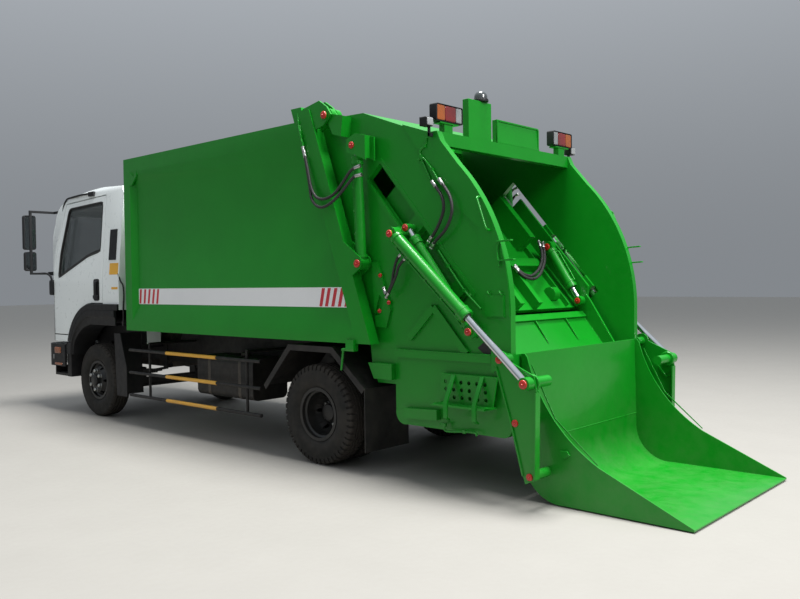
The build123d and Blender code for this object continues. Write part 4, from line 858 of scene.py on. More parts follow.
@dataclass
class Wheels:
    """Tyres with moulded tread, and the nuts and caps on the rims."""

    tyre_radius: float = 430.0
    crown_drop: float = 4.5
    tread_half: float = 80.0
    crown_edge: float = 70.0
    lugs: int = 48
    groove_depth: float = 11.0
    groove_walls: tuple = (7.0, 4.6, -4.6, -7.0)
    zigzag: float = 4.0
    section_middle: float = 330.0
    sidewall: tuple = ((79.7, 231), (96, 250), (109, 280), (112, 307), (110.5, 340), (105, 375), (102, 402),
                       (94, 418), (80, 425.5))
    liner: tuple = ((-70, 236), (-64, 262), (0, 292), (64, 262), (70, 236))
    # Rings moulded on the sidewall: height, radius, width
    rings: tuple = ((1.8, 391, 5), (1.6, 262, 6))
    # Place in a lug's pitch, and whether the gap is cut there
    gap: tuple = ((0.0, 0.0), (0.06, 1.0), (0.30, 1.0), (0.36, 0.0), (0.68, 0.0))
    stud_circle: float = 111.0
    studs: int = 6
    # Profiles as distance out from the disc and radius
    nut: tuple = ((0, 27), (5, 27), (6, 23.5), (29, 23.5), (36, 19), (40, 9))
    # Node, body, station, the tyres' x, pattern
    tyres: tuple = (("tyre_front", "wheel_front", 0, (861,), Pattern.RIB),
                    ("tyres_rear", "wheels_rear", REAR_AXLE, (680, 945), Pattern.LUG))
    # Place, body, station, the disc's x, the cap's profile
    hubs: tuple = (
        ("front", "wheel_front", 0, 965, ((30, 62), (41, 60), (46, 52), (50, 40), (51, 20), (51, 6))),
        ("rear", "wheels_rear", REAR_AXLE, 824.5, ((60, 84), (72, 84), (76, 76), (93, 70), (96, 60), (97, 10))))

    def tyre(self, x_centre: float, station: float, pattern: Pattern) -> Shape:
        """Tyre: a closed profile turned about the wheel's axis, with grooves pressed into it.

        The crown is r = R - drop (x / half)^2. A groove runs round at x = c + zigzag tri(angle). A lug gap is
        pressed in along the profile's normal where the angle's place in its pitch lies in the gap.

        Args:
            x_centre: The wheel's middle.
            station: The axle's station.
            pattern: Ribs of a steering tyre, or lugs of a drive tyre.

        Returns:
            The tyre.
        """
        centres, shoulder_x, shoulder_radius, gap_depth = pattern.value
        side = smooth_route(self.sidewall, per_leg=3)
        crown_x = np.add.outer(centres, self.groove_walls).ravel()
        crown_x = np.concatenate(([self.crown_edge], crown_x, [-self.crown_edge]))
        crown_radius = self.tyre_radius - self.crown_drop * (crown_x / self.tread_half) ** 2
        crown = np.stack((crown_x, crown_radius), axis=-1)
        outline = np.vstack((side, crown, side[::-1] * (-1, 1), self.liner))
        rise = sum(height * np.exp(-((outline[:, 1] - radius) / width) ** 2)
                   for height, radius, width in self.rings)
        rise[-len(self.liner):] = 0
        outline[:, 0] += np.sign(outline[:, 0]) * rise
        groove, sway = np.zeros((2, len(outline)))
        grooved = slice(len(side) + 1, len(side) + len(crown) - 1)
        groove[grooved] = np.tile((0, 1, 1, 0), len(centres)) * self.groove_depth
        sway[grooved] = self.zigzag
        normal = unit(np.roll(outline, -1, axis=0) - np.roll(outline, 1, axis=0)) @ np.array([[0, 1], [-1, 0]])
        normal *= np.sign((normal * (outline - (0, self.section_middle))).sum(axis=1, keepdims=True))
        shoulder = (np.abs(outline[:, 0]) > shoulder_x) & (outline[:, 1] > shoulder_radius)
        pitch, cut = np.transpose(self.gap)
        turns = (np.arange(self.lugs)[:, None] + pitch).ravel() / self.lugs
        wave = 4 * np.abs((turns * self.lugs / 2) % 1 - 0.5) - 1
        press = np.tile(cut, self.lugs)[:, None] * shoulder * gap_depth
        x = outline[:, 0] + wave[:, None] * sway - press * normal[:, 0]
        radius = outline[:, 1] - groove - press * normal[:, 1]
        angle = 2 * np.pi * turns[:, None]
        return Shape.grid(np.stack((x_centre + x, station + radius * np.sin(angle),
                                    self.tyre_radius + radius * np.cos(angle)), axis=-1), along=True)

    def map_radius(self, obj: bpy.types.Object, shop: Workshop, station: float) -> None:
        """Stores each corner's distance from the axle as U of a UV map, for the rubber's tread and sidewall.

        Args:
            obj: The tyre.
            shop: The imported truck.
            station: The axle's station.
        """
        mesh = obj.data
        places = np.empty(len(mesh.vertices) * 3)
        mesh.vertices.foreach_get("co", places)
        places = places.reshape(-1, 3) - shop.to_frame((0, station, self.tyre_radius))
        corners = np.empty(len(mesh.loops), dtype=int)
        mesh.loops.foreach_get("vertex_index", corners)
        radius = np.hypot(places[:, 1], places[:, 2])[corners]
        layer = mesh.uv_layers.new(name="radius")
        layer.uv.foreach_set("vector", np.stack((radius, np.zeros_like(radius)), axis=-1).ravel())

    def build(self, shop: Workshop) -> None:
        """Adds all six tyres, the domed nuts over their studs and the hubs' caps.

        Args:
            shop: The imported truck.
        """
        angles = 2 * np.pi * np.arange(self.studs) / self.studs
        for side, name in SIDES.items():
            for node, body, station, places, pattern in self.tyres:
                tyres = Shape.join([self.tyre(side * x, station, pattern) for x in places])
                obj = shop.add(f"{node}_{name}_moulded", tyres, TYRE_RUBBER, f"{body}_{name}",
                               (f"{node}_{name}",))
                self.map_radius(obj, shop, station)
            for place, body, station, x, cap in self.hubs:
                studs = [(x, station + self.stud_circle * np.sin(angle),
                          self.tyre_radius + self.stud_circle * np.cos(angle)) for angle in angles]
                nuts = Shape.join([Shape.turned(stud, (1, 0, 0), self.nut, 6) for stud in studs])
                hub = Shape.turned((x, station, self.tyre_radius), (1, 0, 0), cap, 40)
                shop.add(f"hub_{place}_{name}", hub.on(side), WHEEL_PAINT, f"{body}_{name}", round_mm=1)
                shop.add(f"wheel_nuts_{place}_{name}", nuts.on(side), ZINC_FITTING, f"{body}_{name}",
                         round_mm=1.5)


@dataclass
class Ram:
    """A pair of hydraulic cylinders: the glands, the rods' wipers and the pipe that feeds the far end."""

    name: str
    x: float
    base: tuple
    eye: tuple
    tube: float
    rod: float
    length: float
    pipe_side: int = 1
    pipe_radius: float = 7.5
    # Feed pipe: its ports' distance from the tube's two ends, its seat and its run over the tube, its clips' span
    ports: tuple = (86, 48)
    seat: float = 3
    lift: float = 17
    clip_span: tuple = (0.28, 0.72)
    # Profiles as distance along and radius: the gland, the foot over the tube, the lip and the wiper over the rod
    gland: tuple = ((-66, 1), (-64, 9), (-46, 9), (-44, 6.6), (-22, 6.6), (-21, 8.5), (-3, 8.5), (0, 5))
    lip: tuple = ((1, 6), (1, 1))
    foot: tuple = ((44, -2), (46, 7), (64, 7), (66, -1))
    wiper: tuple = ((0, 0.8), (0, 9), (5, 8), (8, 2), (8, 0.8))
    union: tuple = ((0, 15), (9, 15), (10, 12.5), (19, 12.5), (20, 10))
    clip: tuple = ((0, 11), (26, 11), (28, 9))

    def build(self, shop: Workshop) -> None:
        """Adds the gland rings, the feed pipes and the wipers of both sides to the barrels.

        Args:
            shop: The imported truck.
        """
        start = np.array((self.x, *self.base), float)
        along = unit(np.array((0, self.eye[0] - self.base[0], self.eye[1] - self.base[1]), float))
        out = np.array((0, -along[2], along[1])) * self.pipe_side
        tube, rod, end = self.tube, self.rod, self.length
        gland = np.vstack((np.add(self.gland, (end, tube)), np.add(self.lip, (end, rod))))
        foot = np.add(self.foot, (0, tube))
        rings = [Shape.turned(start, along, gland, 32), Shape.turned(start, along, foot, 32)]
        seat, lift = tube + self.seat, tube + self.lift
        near, far = self.ports[0], end - self.ports[1]
        knots = np.array([(near, seat), (near + 2, lift - 6), (near + 14, lift), (end / 2, lift), (far - 14, lift),
                          (far - 2, lift - 6), (far, seat)])
        route = start + knots[:, :1] * along + knots[:, 1:] * out
        rings += [Shape.turned(start + reach * along + (tube - 4) * out, out, self.union, 6)
                  for reach in (near, far)]
        rings += [Shape.turned(start + reach * along + (tube - 3) * out, out, self.clip, 12)
                  for reach in np.linspace(*self.clip_span, 3) * end]
        rings.append(Shape.tube(smooth_route(route, 6), self.pipe_radius, 12, tuple(np.cross(along, out))))
        body = f"{self.name}_barrels"
        shop.add(f"{self.name}_glands", Shape.join(rings), GREEN_ENAMEL, body, round_mm=0.8, both=True)
        wiper = Shape.turned(start, along, np.add(self.wiper, (end, rod)), 32)
        shop.add(f"{self.name}_wipers", wiper, SEAL_RUBBER, body, both=True)


@dataclass
class PinCaps:
    """Domed red caps on the outer ends of the pins, with a grease nipple in each."""

    thickness: float = 12.0
    # Profile as shares of the thickness and the radius, and the nipple's as distance past the face and radius
    dome: tuple = ((0.45, 1), (0.75, 0.93), (0.95, 0.75), (1, 0.5))
    nipple: tuple = ((0, 7), (5, 6), (9, 4), (10, 1.5))
    # Name, body, radius (below zero where the cap faces inward), places as x, station and height
    rows: tuple = (
        ("hinge", "chassis", 32, ((1100, *HINGE), (1101, *LIFT_LOW))),
        ("gate", "tailgate", 28, ((1103, *LIFT_HIGH), (1166, *BUCKET_BASE), (1054, *CARRIAGE_LOW),
                                  (1082, *BUCKET_PIVOT))),
        ("lock", "tailgate", 17, ((979, 4711, 1604), (979, 4800, 1388), (979, 4700, 1320))),
        ("rod_end", "bucket_rods", 31, ((1153, *BUCKET_EYE),)),
        ("carriage_end", "carriage_rods", 28, ((1041, *CARRIAGE_HIGH),)),
        ("arm", "bucket", 25, ((1076, 6053, 580), (1076, 6166, 229))),
        ("blade_base", "carriage", -32, ((738, *BLADE_BASE),)),
        ("blade_eye", "blade_rods", -27, ((746, *BLADE_EYE),)),
    )

    def build(self, shop: Workshop) -> None:
        """Adds the caps of both sides, one piece to each row.

        Args:
            shop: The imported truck.
        """
        for name, body, size, places in self.rows:
            radius, facing = abs(size), np.sign(size)
            dome = np.multiply(self.dome, (self.thickness, radius))
            profile = np.vstack(((-2, radius), dome, np.add(self.nipple, (self.thickness, 0))))
            caps = Shape.join([Shape.turned(place, (facing, 0, 0), profile, 28) for place in places])
            shop.add(f"pin_caps_{name}", caps, RED_ENAMEL, body, both=True)


@dataclass
class HoseRow:
    """One hydraulic hose: its route's values of x and knots, its radius, its ends' bodies and its sides."""

    name: str
    x: tuple
    knots: tuple
    radius: float
    bodies: tuple
    sides: tuple = (1, -1)


@dataclass
class Hoses:
    """Wrapped rubber hoses with crimped ferrules and round collars at both ends."""

    # Fitting's profile as distance in along the hose and height over it
    fitting: tuple = ((-14, 1), (-13, 5), (-2, 5), (0, 1.5), (4, 3.2), (40, 3.2), (46, 0.8))
    # Samples in from an end that a fitting points at, and in from an end where points of a hose between two bodies
    # are read, which nothing then uses
    lead: int = 3
    bend: int = 6
    rows: tuple = (
        HoseRow("lift_feed", (1118, 1135, 1150, 1150, 1128, 1100),
                ((3964, 2686), (4026, 2511), (4076, 2358), (4148, 2263), (4249, 2236), (4363, 2266), (4448, 2344),
                 (4532, 2440), (4610, 2470)), 12, ("chassis", "lift_barrels")),
        HoseRow("lift_return", (1118, 1140, 1160, 1160, 1128, 1100),
                ((3978, 2645), (4048, 2400), (4103, 2238), (4219, 2170), (4348, 2200), (4461, 2286), (4558, 2381),
                 (4622, 2400)), 12, ("chassis", "lift_barrels")),
        HoseRow("gate_upper", (985, 1000, 1005, 1000, 985),
                ((5274, 2289), (5364, 2185), (5390, 2095), (5362, 2010), (5303, 1925), (5232, 1858)), 12,
                ("tailgate", "tailgate")),
        HoseRow("gate_lower", (985, 1015, 1020, 1015, 985),
                ((5343, 2300), (5443, 2187), (5479, 2089), (5463, 2004), (5405, 1920), (5313, 1854), (5255, 1807)),
                12, ("tailgate", "tailgate")),
        HoseRow("side_loop", (1020, 1035, 1035, 1020),
                ((4990, 1776), (4939, 1723), (4908, 1632), (4886, 1540), (4826, 1457), (4789, 1495)), 11,
                ("tailgate", "tailgate")),
        HoseRow("side_loop_low", (1020, 1040, 1040, 1020),
                ((5043, 1747), (4968, 1677), (4935, 1595), (4865, 1485), (4818, 1439)), 11,
                ("tailgate", "tailgate")),
        HoseRow("inner_loop", (-742, -700, -620, -500, -370, -250, -160, -110, -94),
                ((5128, 1884), (5170, 1800), (5222, 1718), (5274, 1642), (5322, 1587), (5347, 1562), (5337, 1572),
                 (5302, 1612), (5264, 1657)), 13, ("carriage", "carriage"), (1,)),
        HoseRow("inner_loop_low", (-700, -668, -590, -480, -350, -240, -165, -125, -118),
                ((5112, 1894), (5165, 1796), (5212, 1716), (5258, 1656), (5300, 1609), (5322, 1587), (5312, 1600),
                 (5282, 1634), (5252, 1668)), 13, ("carriage", "carriage"), (1,)),
    )

    def build(self, shop: Workshop) -> None:
        """Adds each hose and its end fittings.

        Args:
            shop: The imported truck.
        """
        for row in self.rows:
            route, r = spread(row.x, row.knots, 8), row.radius
            first, last = row.bodies
            profile = np.add(self.fitting, (0, r))
            inward = route[self.lead] - route[0], route[-1 - self.lead] - route[-1]
            ends = ((Shape.turned(route[0], inward[0], profile, 20), first, "start"),
                    (Shape.turned(route[-1], inward[1], profile, 20), last, "end"))
            for side in row.sides:
                name = f"hose_{row.name}_{'near' if side > 0 else 'far'}"
                hose = Shape.tube(route, r, 14).on(side)
                obj = shop.add(name, hose, HOSE_RUBBER, first if first == last else "")
                if first != last:
                    start, end = (tuple(shop.to_frame(point * (side, 1, 1)))
                                  for point in (route[self.bend], route[-1 - self.bend]))
                    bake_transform(obj)
                for fitting, body, tag in ends:
                    shop.add(f"{name}_{tag}", fitting.on(side), ZINC_FITTING, body)


@dataclass
class Pipes:
    """Rigid green hydraulic pipes on the tailgate and the body, with a clip near each end."""

    radius: float = 8.5
    # Shares of the route where the clips sit, and a clip's reach from there
    clips: tuple = (0.3, 0.7)
    clip: tuple = (-12, 11, -13, 13, -13, 13)
    # Name, body, x along the pipe, knots as station and height
    rows: tuple = (
        ("body_feed", "chassis", (1092, 1112, 1118), ((3874, 2998), (3893, 2895), (3930, 2790), (3964, 2686))),
        ("body_return", "chassis", (1100, 1112, 1118), ((3905, 2890), (3921, 2811), (3950, 2730), (3978, 2645))),
        ("gate_high", "tailgate", (966,), ((5202, 2636), (5189, 2584), (5134, 2537), (5152, 2473), (5232, 2322))),
        ("gate_mid", "tailgate", (966, 966, 985), ((5116, 2477), (5164, 2486), (5256, 2390), (5324, 2304))),
        ("gate_down", "tailgate", (985, 985), ((5232, 1858), (5210, 1832), (5190, 1800))),
        ("slot_side", "tailgate", (968,), ((5304, 1783), (5415, 1640), (5546, 1483), (5694, 1348))),
        ("bucket_side", "tailgate", (1040, 1052, 1052, 1040), ((5118, 1744), (5246, 1608), (5447, 1416),
                                                               (5566, 1324))),
        ("under_step", "tailgate", (1000, 1006, 1006, 1000), ((5327, 486), (5375, 492), (5394, 442), (5635, 462),
                                                              (5671, 437))),
    )

    def build(self, shop: Workshop) -> None:
        """Adds the pipes of both sides with their clips.

        Args:
            shop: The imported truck.
        """
        for name, body, across, knots in self.rows:
            route = spread(across, knots, 6)
            parts = [Shape.tube(route, self.radius, 12)]
            for share in self.clips:
                place = route[int(share * (len(route) - 1))]
                parts.append(Shape.block(*np.repeat(place, 2) + self.clip, 4))
            shop.add(f"pipe_{name}", Shape.join(parts), GREEN_ENAMEL, body, round_mm=0.8, both=True)


@dataclass
class BodyDress:
    """Marking band with leaning red hatches at both its ends, on the load body's recessed panel."""

    skin: float = 1050.0
    feet: float = 1353.0
    heads: float = 1507.0
    stripe_half: float = 19.0
    # Back and face of the band and of the bars, over the skin
    band_film: tuple = (0.2, 1.0)
    bar_film: tuple = (0.9, 1.6)
    band: tuple = ((1144, 1347), (4431, 1347), (4377, 1513), (1139, 1513))
    # Each bar's station at its foot and its head
    bars: tuple = ((1173, 1189), (1258, 1279), (1341, 1368), (1427, 1456), (1511, 1537),
                   (4081, 4117), (4150, 4190), (4228, 4270), (4307, 4349))
    clipped: tuple = ((4367, 1353), (4405, 1353), (4414, 1389), (4393, 1455))

    def build(self, shop: Workshop) -> None:
        """Adds the band, an upright slab proud of the panel, and its hatches on both sides.

        Args:
            shop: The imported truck.
        """
        band = Shape.sheet(rounded(self.band, 3, 2), *np.add(self.skin, self.band_film))
        half = self.stripe_half
        outlines = [[(foot - half, self.feet), (foot + half, self.feet), (head + half, self.heads),
                     (head - half, self.heads)] for foot, head in self.bars] + [self.clipped]
        bars = Shape.join([Shape.sheet(outline, *np.add(self.skin, self.bar_film)) for outline in outlines])
        shop.add("marking_band", band, WHITE_FILM, "chassis", smooth=False, both=True)
        shop.add("marking_hatches", bars, RED_FILM, "chassis", smooth=False, both=True)


@dataclass
class RearLamps:
    """Roof lamp boxes with three lenses each, the beacon and the floodlights."""

    x_near: float = 652.0
    x_far: float = 972.0
    front: float = 5232.0
    rear: float = 5306.0
    low: float = 2753.5
    high: float = 2885.0
    # Lenses: the box's margin, their half gap, their depth, and their distance from its upper and lower edge
    margin: float = 12.0
    gap: float = 2.0
    depth: float = 18.0
    edge: float = 10.0
    # Name, finish, share of the width where the lens starts and ends
    lenses: tuple = (("white", CLEAR_LENS, 0.0, 0.24), ("red", RED_LENS, 0.24, 0.68),
                     ("amber", AMBER_LENS, 0.68, 1.0))
    beacon: tuple = (362, 5262, 2980.5)
    beacon_base: tuple = ((0, 40), (4, 62), (20, 62), (22, 58), (26, 58))
    beacon_dome: tuple = ((24, 54), (50, 53), (66, 48), (80, 38), (88, 24), (91, 8))
    # Floodlight's case and glass as lowest and highest corner, power and count
    flood_case: tuple = ((985, 5214, 2705), (1063, 5286, 2775), 9, 16)
    flood_glass: tuple = ((991, 5276, 2712), (1057, 5290, 2768), 10, 12)
    # Its bracket and fins as ranges of x, station and height with the corner's radius
    flood_blocks: tuple = ((962.5, 1003, 5240, 5264, 2636, 2660, 4), (991, 1003, 5240, 5264, 2636, 2712, 4),
                           (988, 1060, 5212.5, 5215.5, 2708, 2774, 1), (988, 1060, 5221.5, 5224.5, 2708, 2774, 1),
                           (988, 1060, 5230.5, 5233.5, 2708, 2774, 1), (988, 1060, 5239.5, 5242.5, 2708, 2774, 1))

    def housing(self) -> Shape:
        """Open-faced box: its outline shrinks into a recess behind the bezel.

        Returns:
            The box of the left lamp.
        """
        x, z = (self.x_near + self.x_far) / 2, (self.low + self.high) / 2
        half = ((self.x_far - self.x_near) / 2, (self.high - self.low) / 2)
        outline = rounded(oblong((-half[0], -half[1]), half), 14, 4)
        rows = ((self.front, 0.96), (self.front + 6, 1.0), (self.rear - 3, 1.0), (self.rear, 0.985),
                (self.rear, 0.93), (self.rear - 16, 0.92))
        return Shape.grid(np.stack([np.column_stack((
            x + outline[:, 0] * share, np.full(len(outline), station), z + outline[:, 1] * share))
            for station, share in rows]))

    def lens(self, start: float, end: float) -> Shape:
        """Lens between two shares of the width: a pillow whose face lies just inside the bezel.

        Args:
            start: Share where it starts.
            end: Share where it ends.

        Returns:
            The left lamp's lens.
        """
        left, width = self.x_near + self.margin, self.x_far - self.x_near - 2 * self.margin
        return Shape.pillow((left + width * start + self.gap, self.rear - self.depth, self.low + self.edge),
                            (left + width * end - self.gap, self.rear - self.gap, self.high - self.edge), 10, 18)[0]

    def build(self, shop: Workshop) -> None:
        """Adds the lamps; the housing stands for the CAD's lamp node.

        Args:
            shop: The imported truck.
        """
        blocks = [Shape.block(*block) for block in self.flood_blocks]
        boxes = Shape.join([self.housing(), Shape.pillow(*self.flood_case)[0], *blocks])
        dome = Shape.turned(self.beacon, (0, 0, 1), self.beacon_dome, 40)
        base = Shape.turned(self.beacon, (0, 0, 1), self.beacon_base, 40)
        shop.add("rear_lamp_housings", boxes + boxes.on(-1) + base, BLACK_PLASTIC, "tailgate",
                 ("rear_lamps",), round_mm=1)
        for name, finish, start, end in self.lenses:
            shop.add(f"rear_lens_{name}", self.lens(start, end), finish, "tailgate", both=True)
        shop.add("beacon_dome", dome, GREY_DOME, "tailgate")
        shop.add("flood_glass", Shape.pillow(*self.flood_glass)[0], CLEAR_LENS, "tailgate", both=True)


def on_skin(low: tuple, high: tuple, radius: float, inner: float, outer: float) -> Shape:
    """Rounded patch laid on the cab's tapering side.

    Args:
        low: Its lowest station and height.
        high: Its highest station and height.
        radius: Its corners' radius.
        inner: Its back's distance out from the side.
        outer: Its face's distance out from the side.

    Returns:
        The patch on the left side.
    """
    shape = Shape.sheet(rounded(oblong(low, high), radius), inner, outer)
    shape.points[:, 0] += cab_side(shape.points[:, 2])
    return shape


@dataclass
class CabTrim:
    """Seals, handles, mirror glass and the rest of the fittings on the cab's outside."""

    # Half sizes of the seal's oval, the frit's section, and how far each lies inside the cab's side
    seal: tuple = (8.5, 11.0)
    seal_inset: float = 4.5
    frit_inset: float = 13.4
    frit: tuple = ((-0.4, -2), (0.4, -2), (0.4, 34), (-0.4, 34))
    # Distance out from the door and height along the grip, the door's x, the grip's station and half sizes
    door_x: float = 1040.0
    grip: tuple = ((2, 1400), (17, 1418), (22, 1503), (17, 1588), (2, 1606))
    grip_station: float = 178.0
    grip_half: tuple = (30, 6)
    # Patches as lowest and highest station and height, corner radius, and distances out from the side
    bezels: tuple = (((110, 1376), (246, 1630), 34, -1, 4), ((118, 1384), (238, 1622), 30, 3, 6))
    # The dark behind the vent's slots is a black sheet laid on the side: painted shade of the opening behind them
    vent_shade_patch: tuple = ((455, 1848), (599, 2187), 16, 0.5, 6.5)
    marks: tuple = (((470, 1676), (668, 1806), 8, 0.4, 1.2), ((528, 1508), (668, 1534), 4, 0.4, 1.2))
    elbow: tuple = ((1040, -965, 1612), (1052, -985, 1680), (1085, -1035, 1714), (1150, -1070, 1714))
    hook: tuple = ((952, -806, 2486), (955, -770, 2560), (955, -690, 2626), (958, -560, 2640), (964, -300, 2650),
                   (964, -60, 2650))
    stay: tuple = ((1028, 668, 1684), (1026, 700, 1610), (1014, 742, 1548), (1008, 744, 1440), (1004, 722, 1300),
                   (1000, 712, 1120))
    # Pillow-shaped fittings as lowest and highest corner, power and count
    bracket: tuple = ((990, -1012, 1440), (1062, -918, 1630), 8, 16)
    amber_lamps: tuple = (((1050, -884, 718), (1068, -724, 794), 8, 14),
                          ((1052, -888, 572), (1066, -690, 602), 8, 12))
    clear_lamp: tuple = ((1050, -950, 640), (1061, -906, 700), 8, 12)
    # Blocks as ranges of x, station and height with the corner's radius: the hook's clip and the stay's clevis
    clip: tuple = (944, 976, -110, 16, 2616, 2668, 8)
    clevis: tuple = (986, 1014, 696, 728, 1096, 1150, 6)
    # The mirrors' silvered plates, facing rearward: their stations, and lowest and highest x and height
    mirror_stations: tuple = (-1076, -1073.5)
    mirrors: tuple = (((1191, 2021), (1319, 2429)), ((1191, 1756), (1309, 1974)))

    def window_path(self, inset: float) -> np.ndarray:
        """The door window's rounded outline, so far inside the cab's side."""
        outline = rounded(DOOR_WINDOW, 60, 5)
        return np.column_stack((cab_side(outline[:, 1]) - inset, outline))

    def handle(self) -> Shape:
        """Door pull: a dark oblong bezel with an upright grip that leaves it at both ends.

        Returns:
            The left door's pull.
        """
        knots = np.array([(self.door_x + out, self.grip_station, height) for out, height in self.grip], float)
        grip = Shape.swept(smooth_route(knots, 6), ring(1.0, 12) * self.grip_half, (0, 1, 0))
        return Shape.join([grip] + [on_skin(*bezel) for bezel in self.bezels])

    def brackets(self) -> Shape:
        """Lower mirror bracket with its elbow, and the upper arm's hook and clip on the roof's edge.

        Returns:
            The left side's brackets.
        """
        return Shape.join([Shape.pillow(*self.bracket)[0],
                           Shape.tube(smooth_route(self.elbow, 6), 13, 12, (0, 0, 1)),
                           Shape.tube(smooth_route(self.hook, 6), 12, 12),
                           Shape.block(*self.clip)])

    def build(self, shop: Workshop) -> None:
        """Adds the trim of both doors and the cab.

        Args:
            shop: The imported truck.
        """
        seal = Shape.swept(self.window_path(self.seal_inset), ring(1.0, 12) * self.seal, closed=True)
        frit = Shape.swept(self.window_path(self.frit_inset), np.array(self.frit), closed=True)
        for side, name in SIDES.items():
            door = f"door_{name}"
            shop.add(f"window_seal_{name}", seal.on(side), SEAL_RUBBER, door)
            shop.add(f"door_pull_{name}", self.handle().on(side), BLACK_PLASTIC, door, round_mm=1)
            shop.add(f"glass_frit_{name}", frit.on(side), SEAL_RUBBER, door, smooth=False)
        marks = Shape.join([on_skin(*mark) for mark in self.marks])
        stay = Shape.tube(smooth_route(self.stay, 6), 9, 10) + Shape.block(*self.clevis)
        amber = Shape.join([Shape.pillow(*lamp)[0] for lamp in self.amber_lamps])
        silver = Shape.join([Shape.sheet(rounded(oblong(*mirror), 26), *self.mirror_stations, "front")
                             for mirror in self.mirrors])
        # Black sheet under the vent's slots, as painted shade in place of the opening behind them
        shop.add("side_vent_painted_shade", on_skin(*self.vent_shade_patch), BLACK_PLASTIC, "cab", round_mm=1, both=True)
        shop.add("mirror_brackets", self.brackets(), BLACK_PLASTIC, "cab", round_mm=1, both=True)
        shop.add("side_marking_patches", marks, YELLOW_FILM, "cab", smooth=False)
        shop.add("tilt_stay", stay, SEAL_RUBBER, "cab", both=True)
        shop.add("bumper_indicators", amber, AMBER_LENS, "chassis", both=True)
        shop.add("bumper_side_lamps", Shape.pillow(*self.clear_lamp)[0], CLEAR_LENS, "chassis", both=True)
        shop.add("mirror_glass", silver, MIRROR_SILVER, "cab", smooth=False, both=True)


@dataclass
class FrontFender:
    """Moulded fender round the front wheel: a raised band, a lower tier set back from it, and its liner."""

    centre: tuple = (80.0, 700.0)
    band: float = 568.5
    rear: float = 606.0
    # Angle above level in degrees, radius of the wheel's opening
    mouth: tuple = ((2, 512), (15, 511), (42, 445), (65, 405), (90, 393))
    # Share of the way from the band to the opening, x
    face: tuple = ((0, 1030), (0, 1061), (0.02, 1063.5), (0.38, 1063.5), (0.43, 1061), (0.47, 1050), (0.52, 1046),
                   (0.93, 1045), (0.98, 1042), (1, 1036), (1, 1030))
    lining: tuple = ((0.96, 1032), (1, 1032), (1, 770), (0.96, 770))
    # Angles of the arc's two ends with its number of rows, and the rows of the level stretch
    arc: tuple = (2, 90, 34)
    level: int = 7
    leg_radii: tuple = (636, 566)
    leg_arc: tuple = (2, 16.2, 8)
    leg_x: tuple = (1040.5, 1063.5)

    def section(self, rows: tuple) -> Shape:
        """Surface over a profile of shares and x, closed at both ends.

        At an angle a the radius is band + share (mouth(a) - band); beyond the top it runs level to the rear.

        Args:
            rows: The profile.

        Returns:
            The left side's surface.
        """
        angle = np.linspace(*self.arc)
        share, x = np.transpose(rows)
        opening = np.interp(angle, *np.transpose(self.mouth))
        radius = self.band + share * (opening[:, None] - self.band)
        turn = np.radians(angle)[:, None]
        front = np.stack((np.broadcast_to(x, radius.shape), self.centre[0] - radius * np.cos(turn),
                          self.centre[1] + radius * np.sin(turn)), axis=-1)
        level = np.repeat(front[-1:], self.level, axis=0)
        level[:, :, 1] = np.linspace(self.centre[0], self.rear, self.level + 1)[1:, None]
        return Shape.grid(np.vstack((front, level)))

    def leg(self) -> Shape:
        """Foot of the band below the cab's own flare, down to the bumper.

        Returns:
            The left side's foot.
        """
        angle = np.radians(np.linspace(*self.leg_arc))
        turn = np.column_stack((-np.cos(angle), np.sin(angle)))
        outer, inner = (self.centre + radius * turn for radius in self.leg_radii)
        return Shape.sheet(np.vstack((outer, inner[::-1])), *self.leg_x)

    def build(self, shop: Workshop) -> None:
        """Adds the fender and its liner on both sides of the cab.

        Args:
            shop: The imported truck.
        """
        fender = self.section(self.face) + self.leg()
        shop.add("front_fender", fender, BLACK_PLASTIC, "cab", round_mm=1.5, both=True)
        shop.add("fender_liner", self.section(self.lining), BLACK_PLASTIC, "cab", both=True)


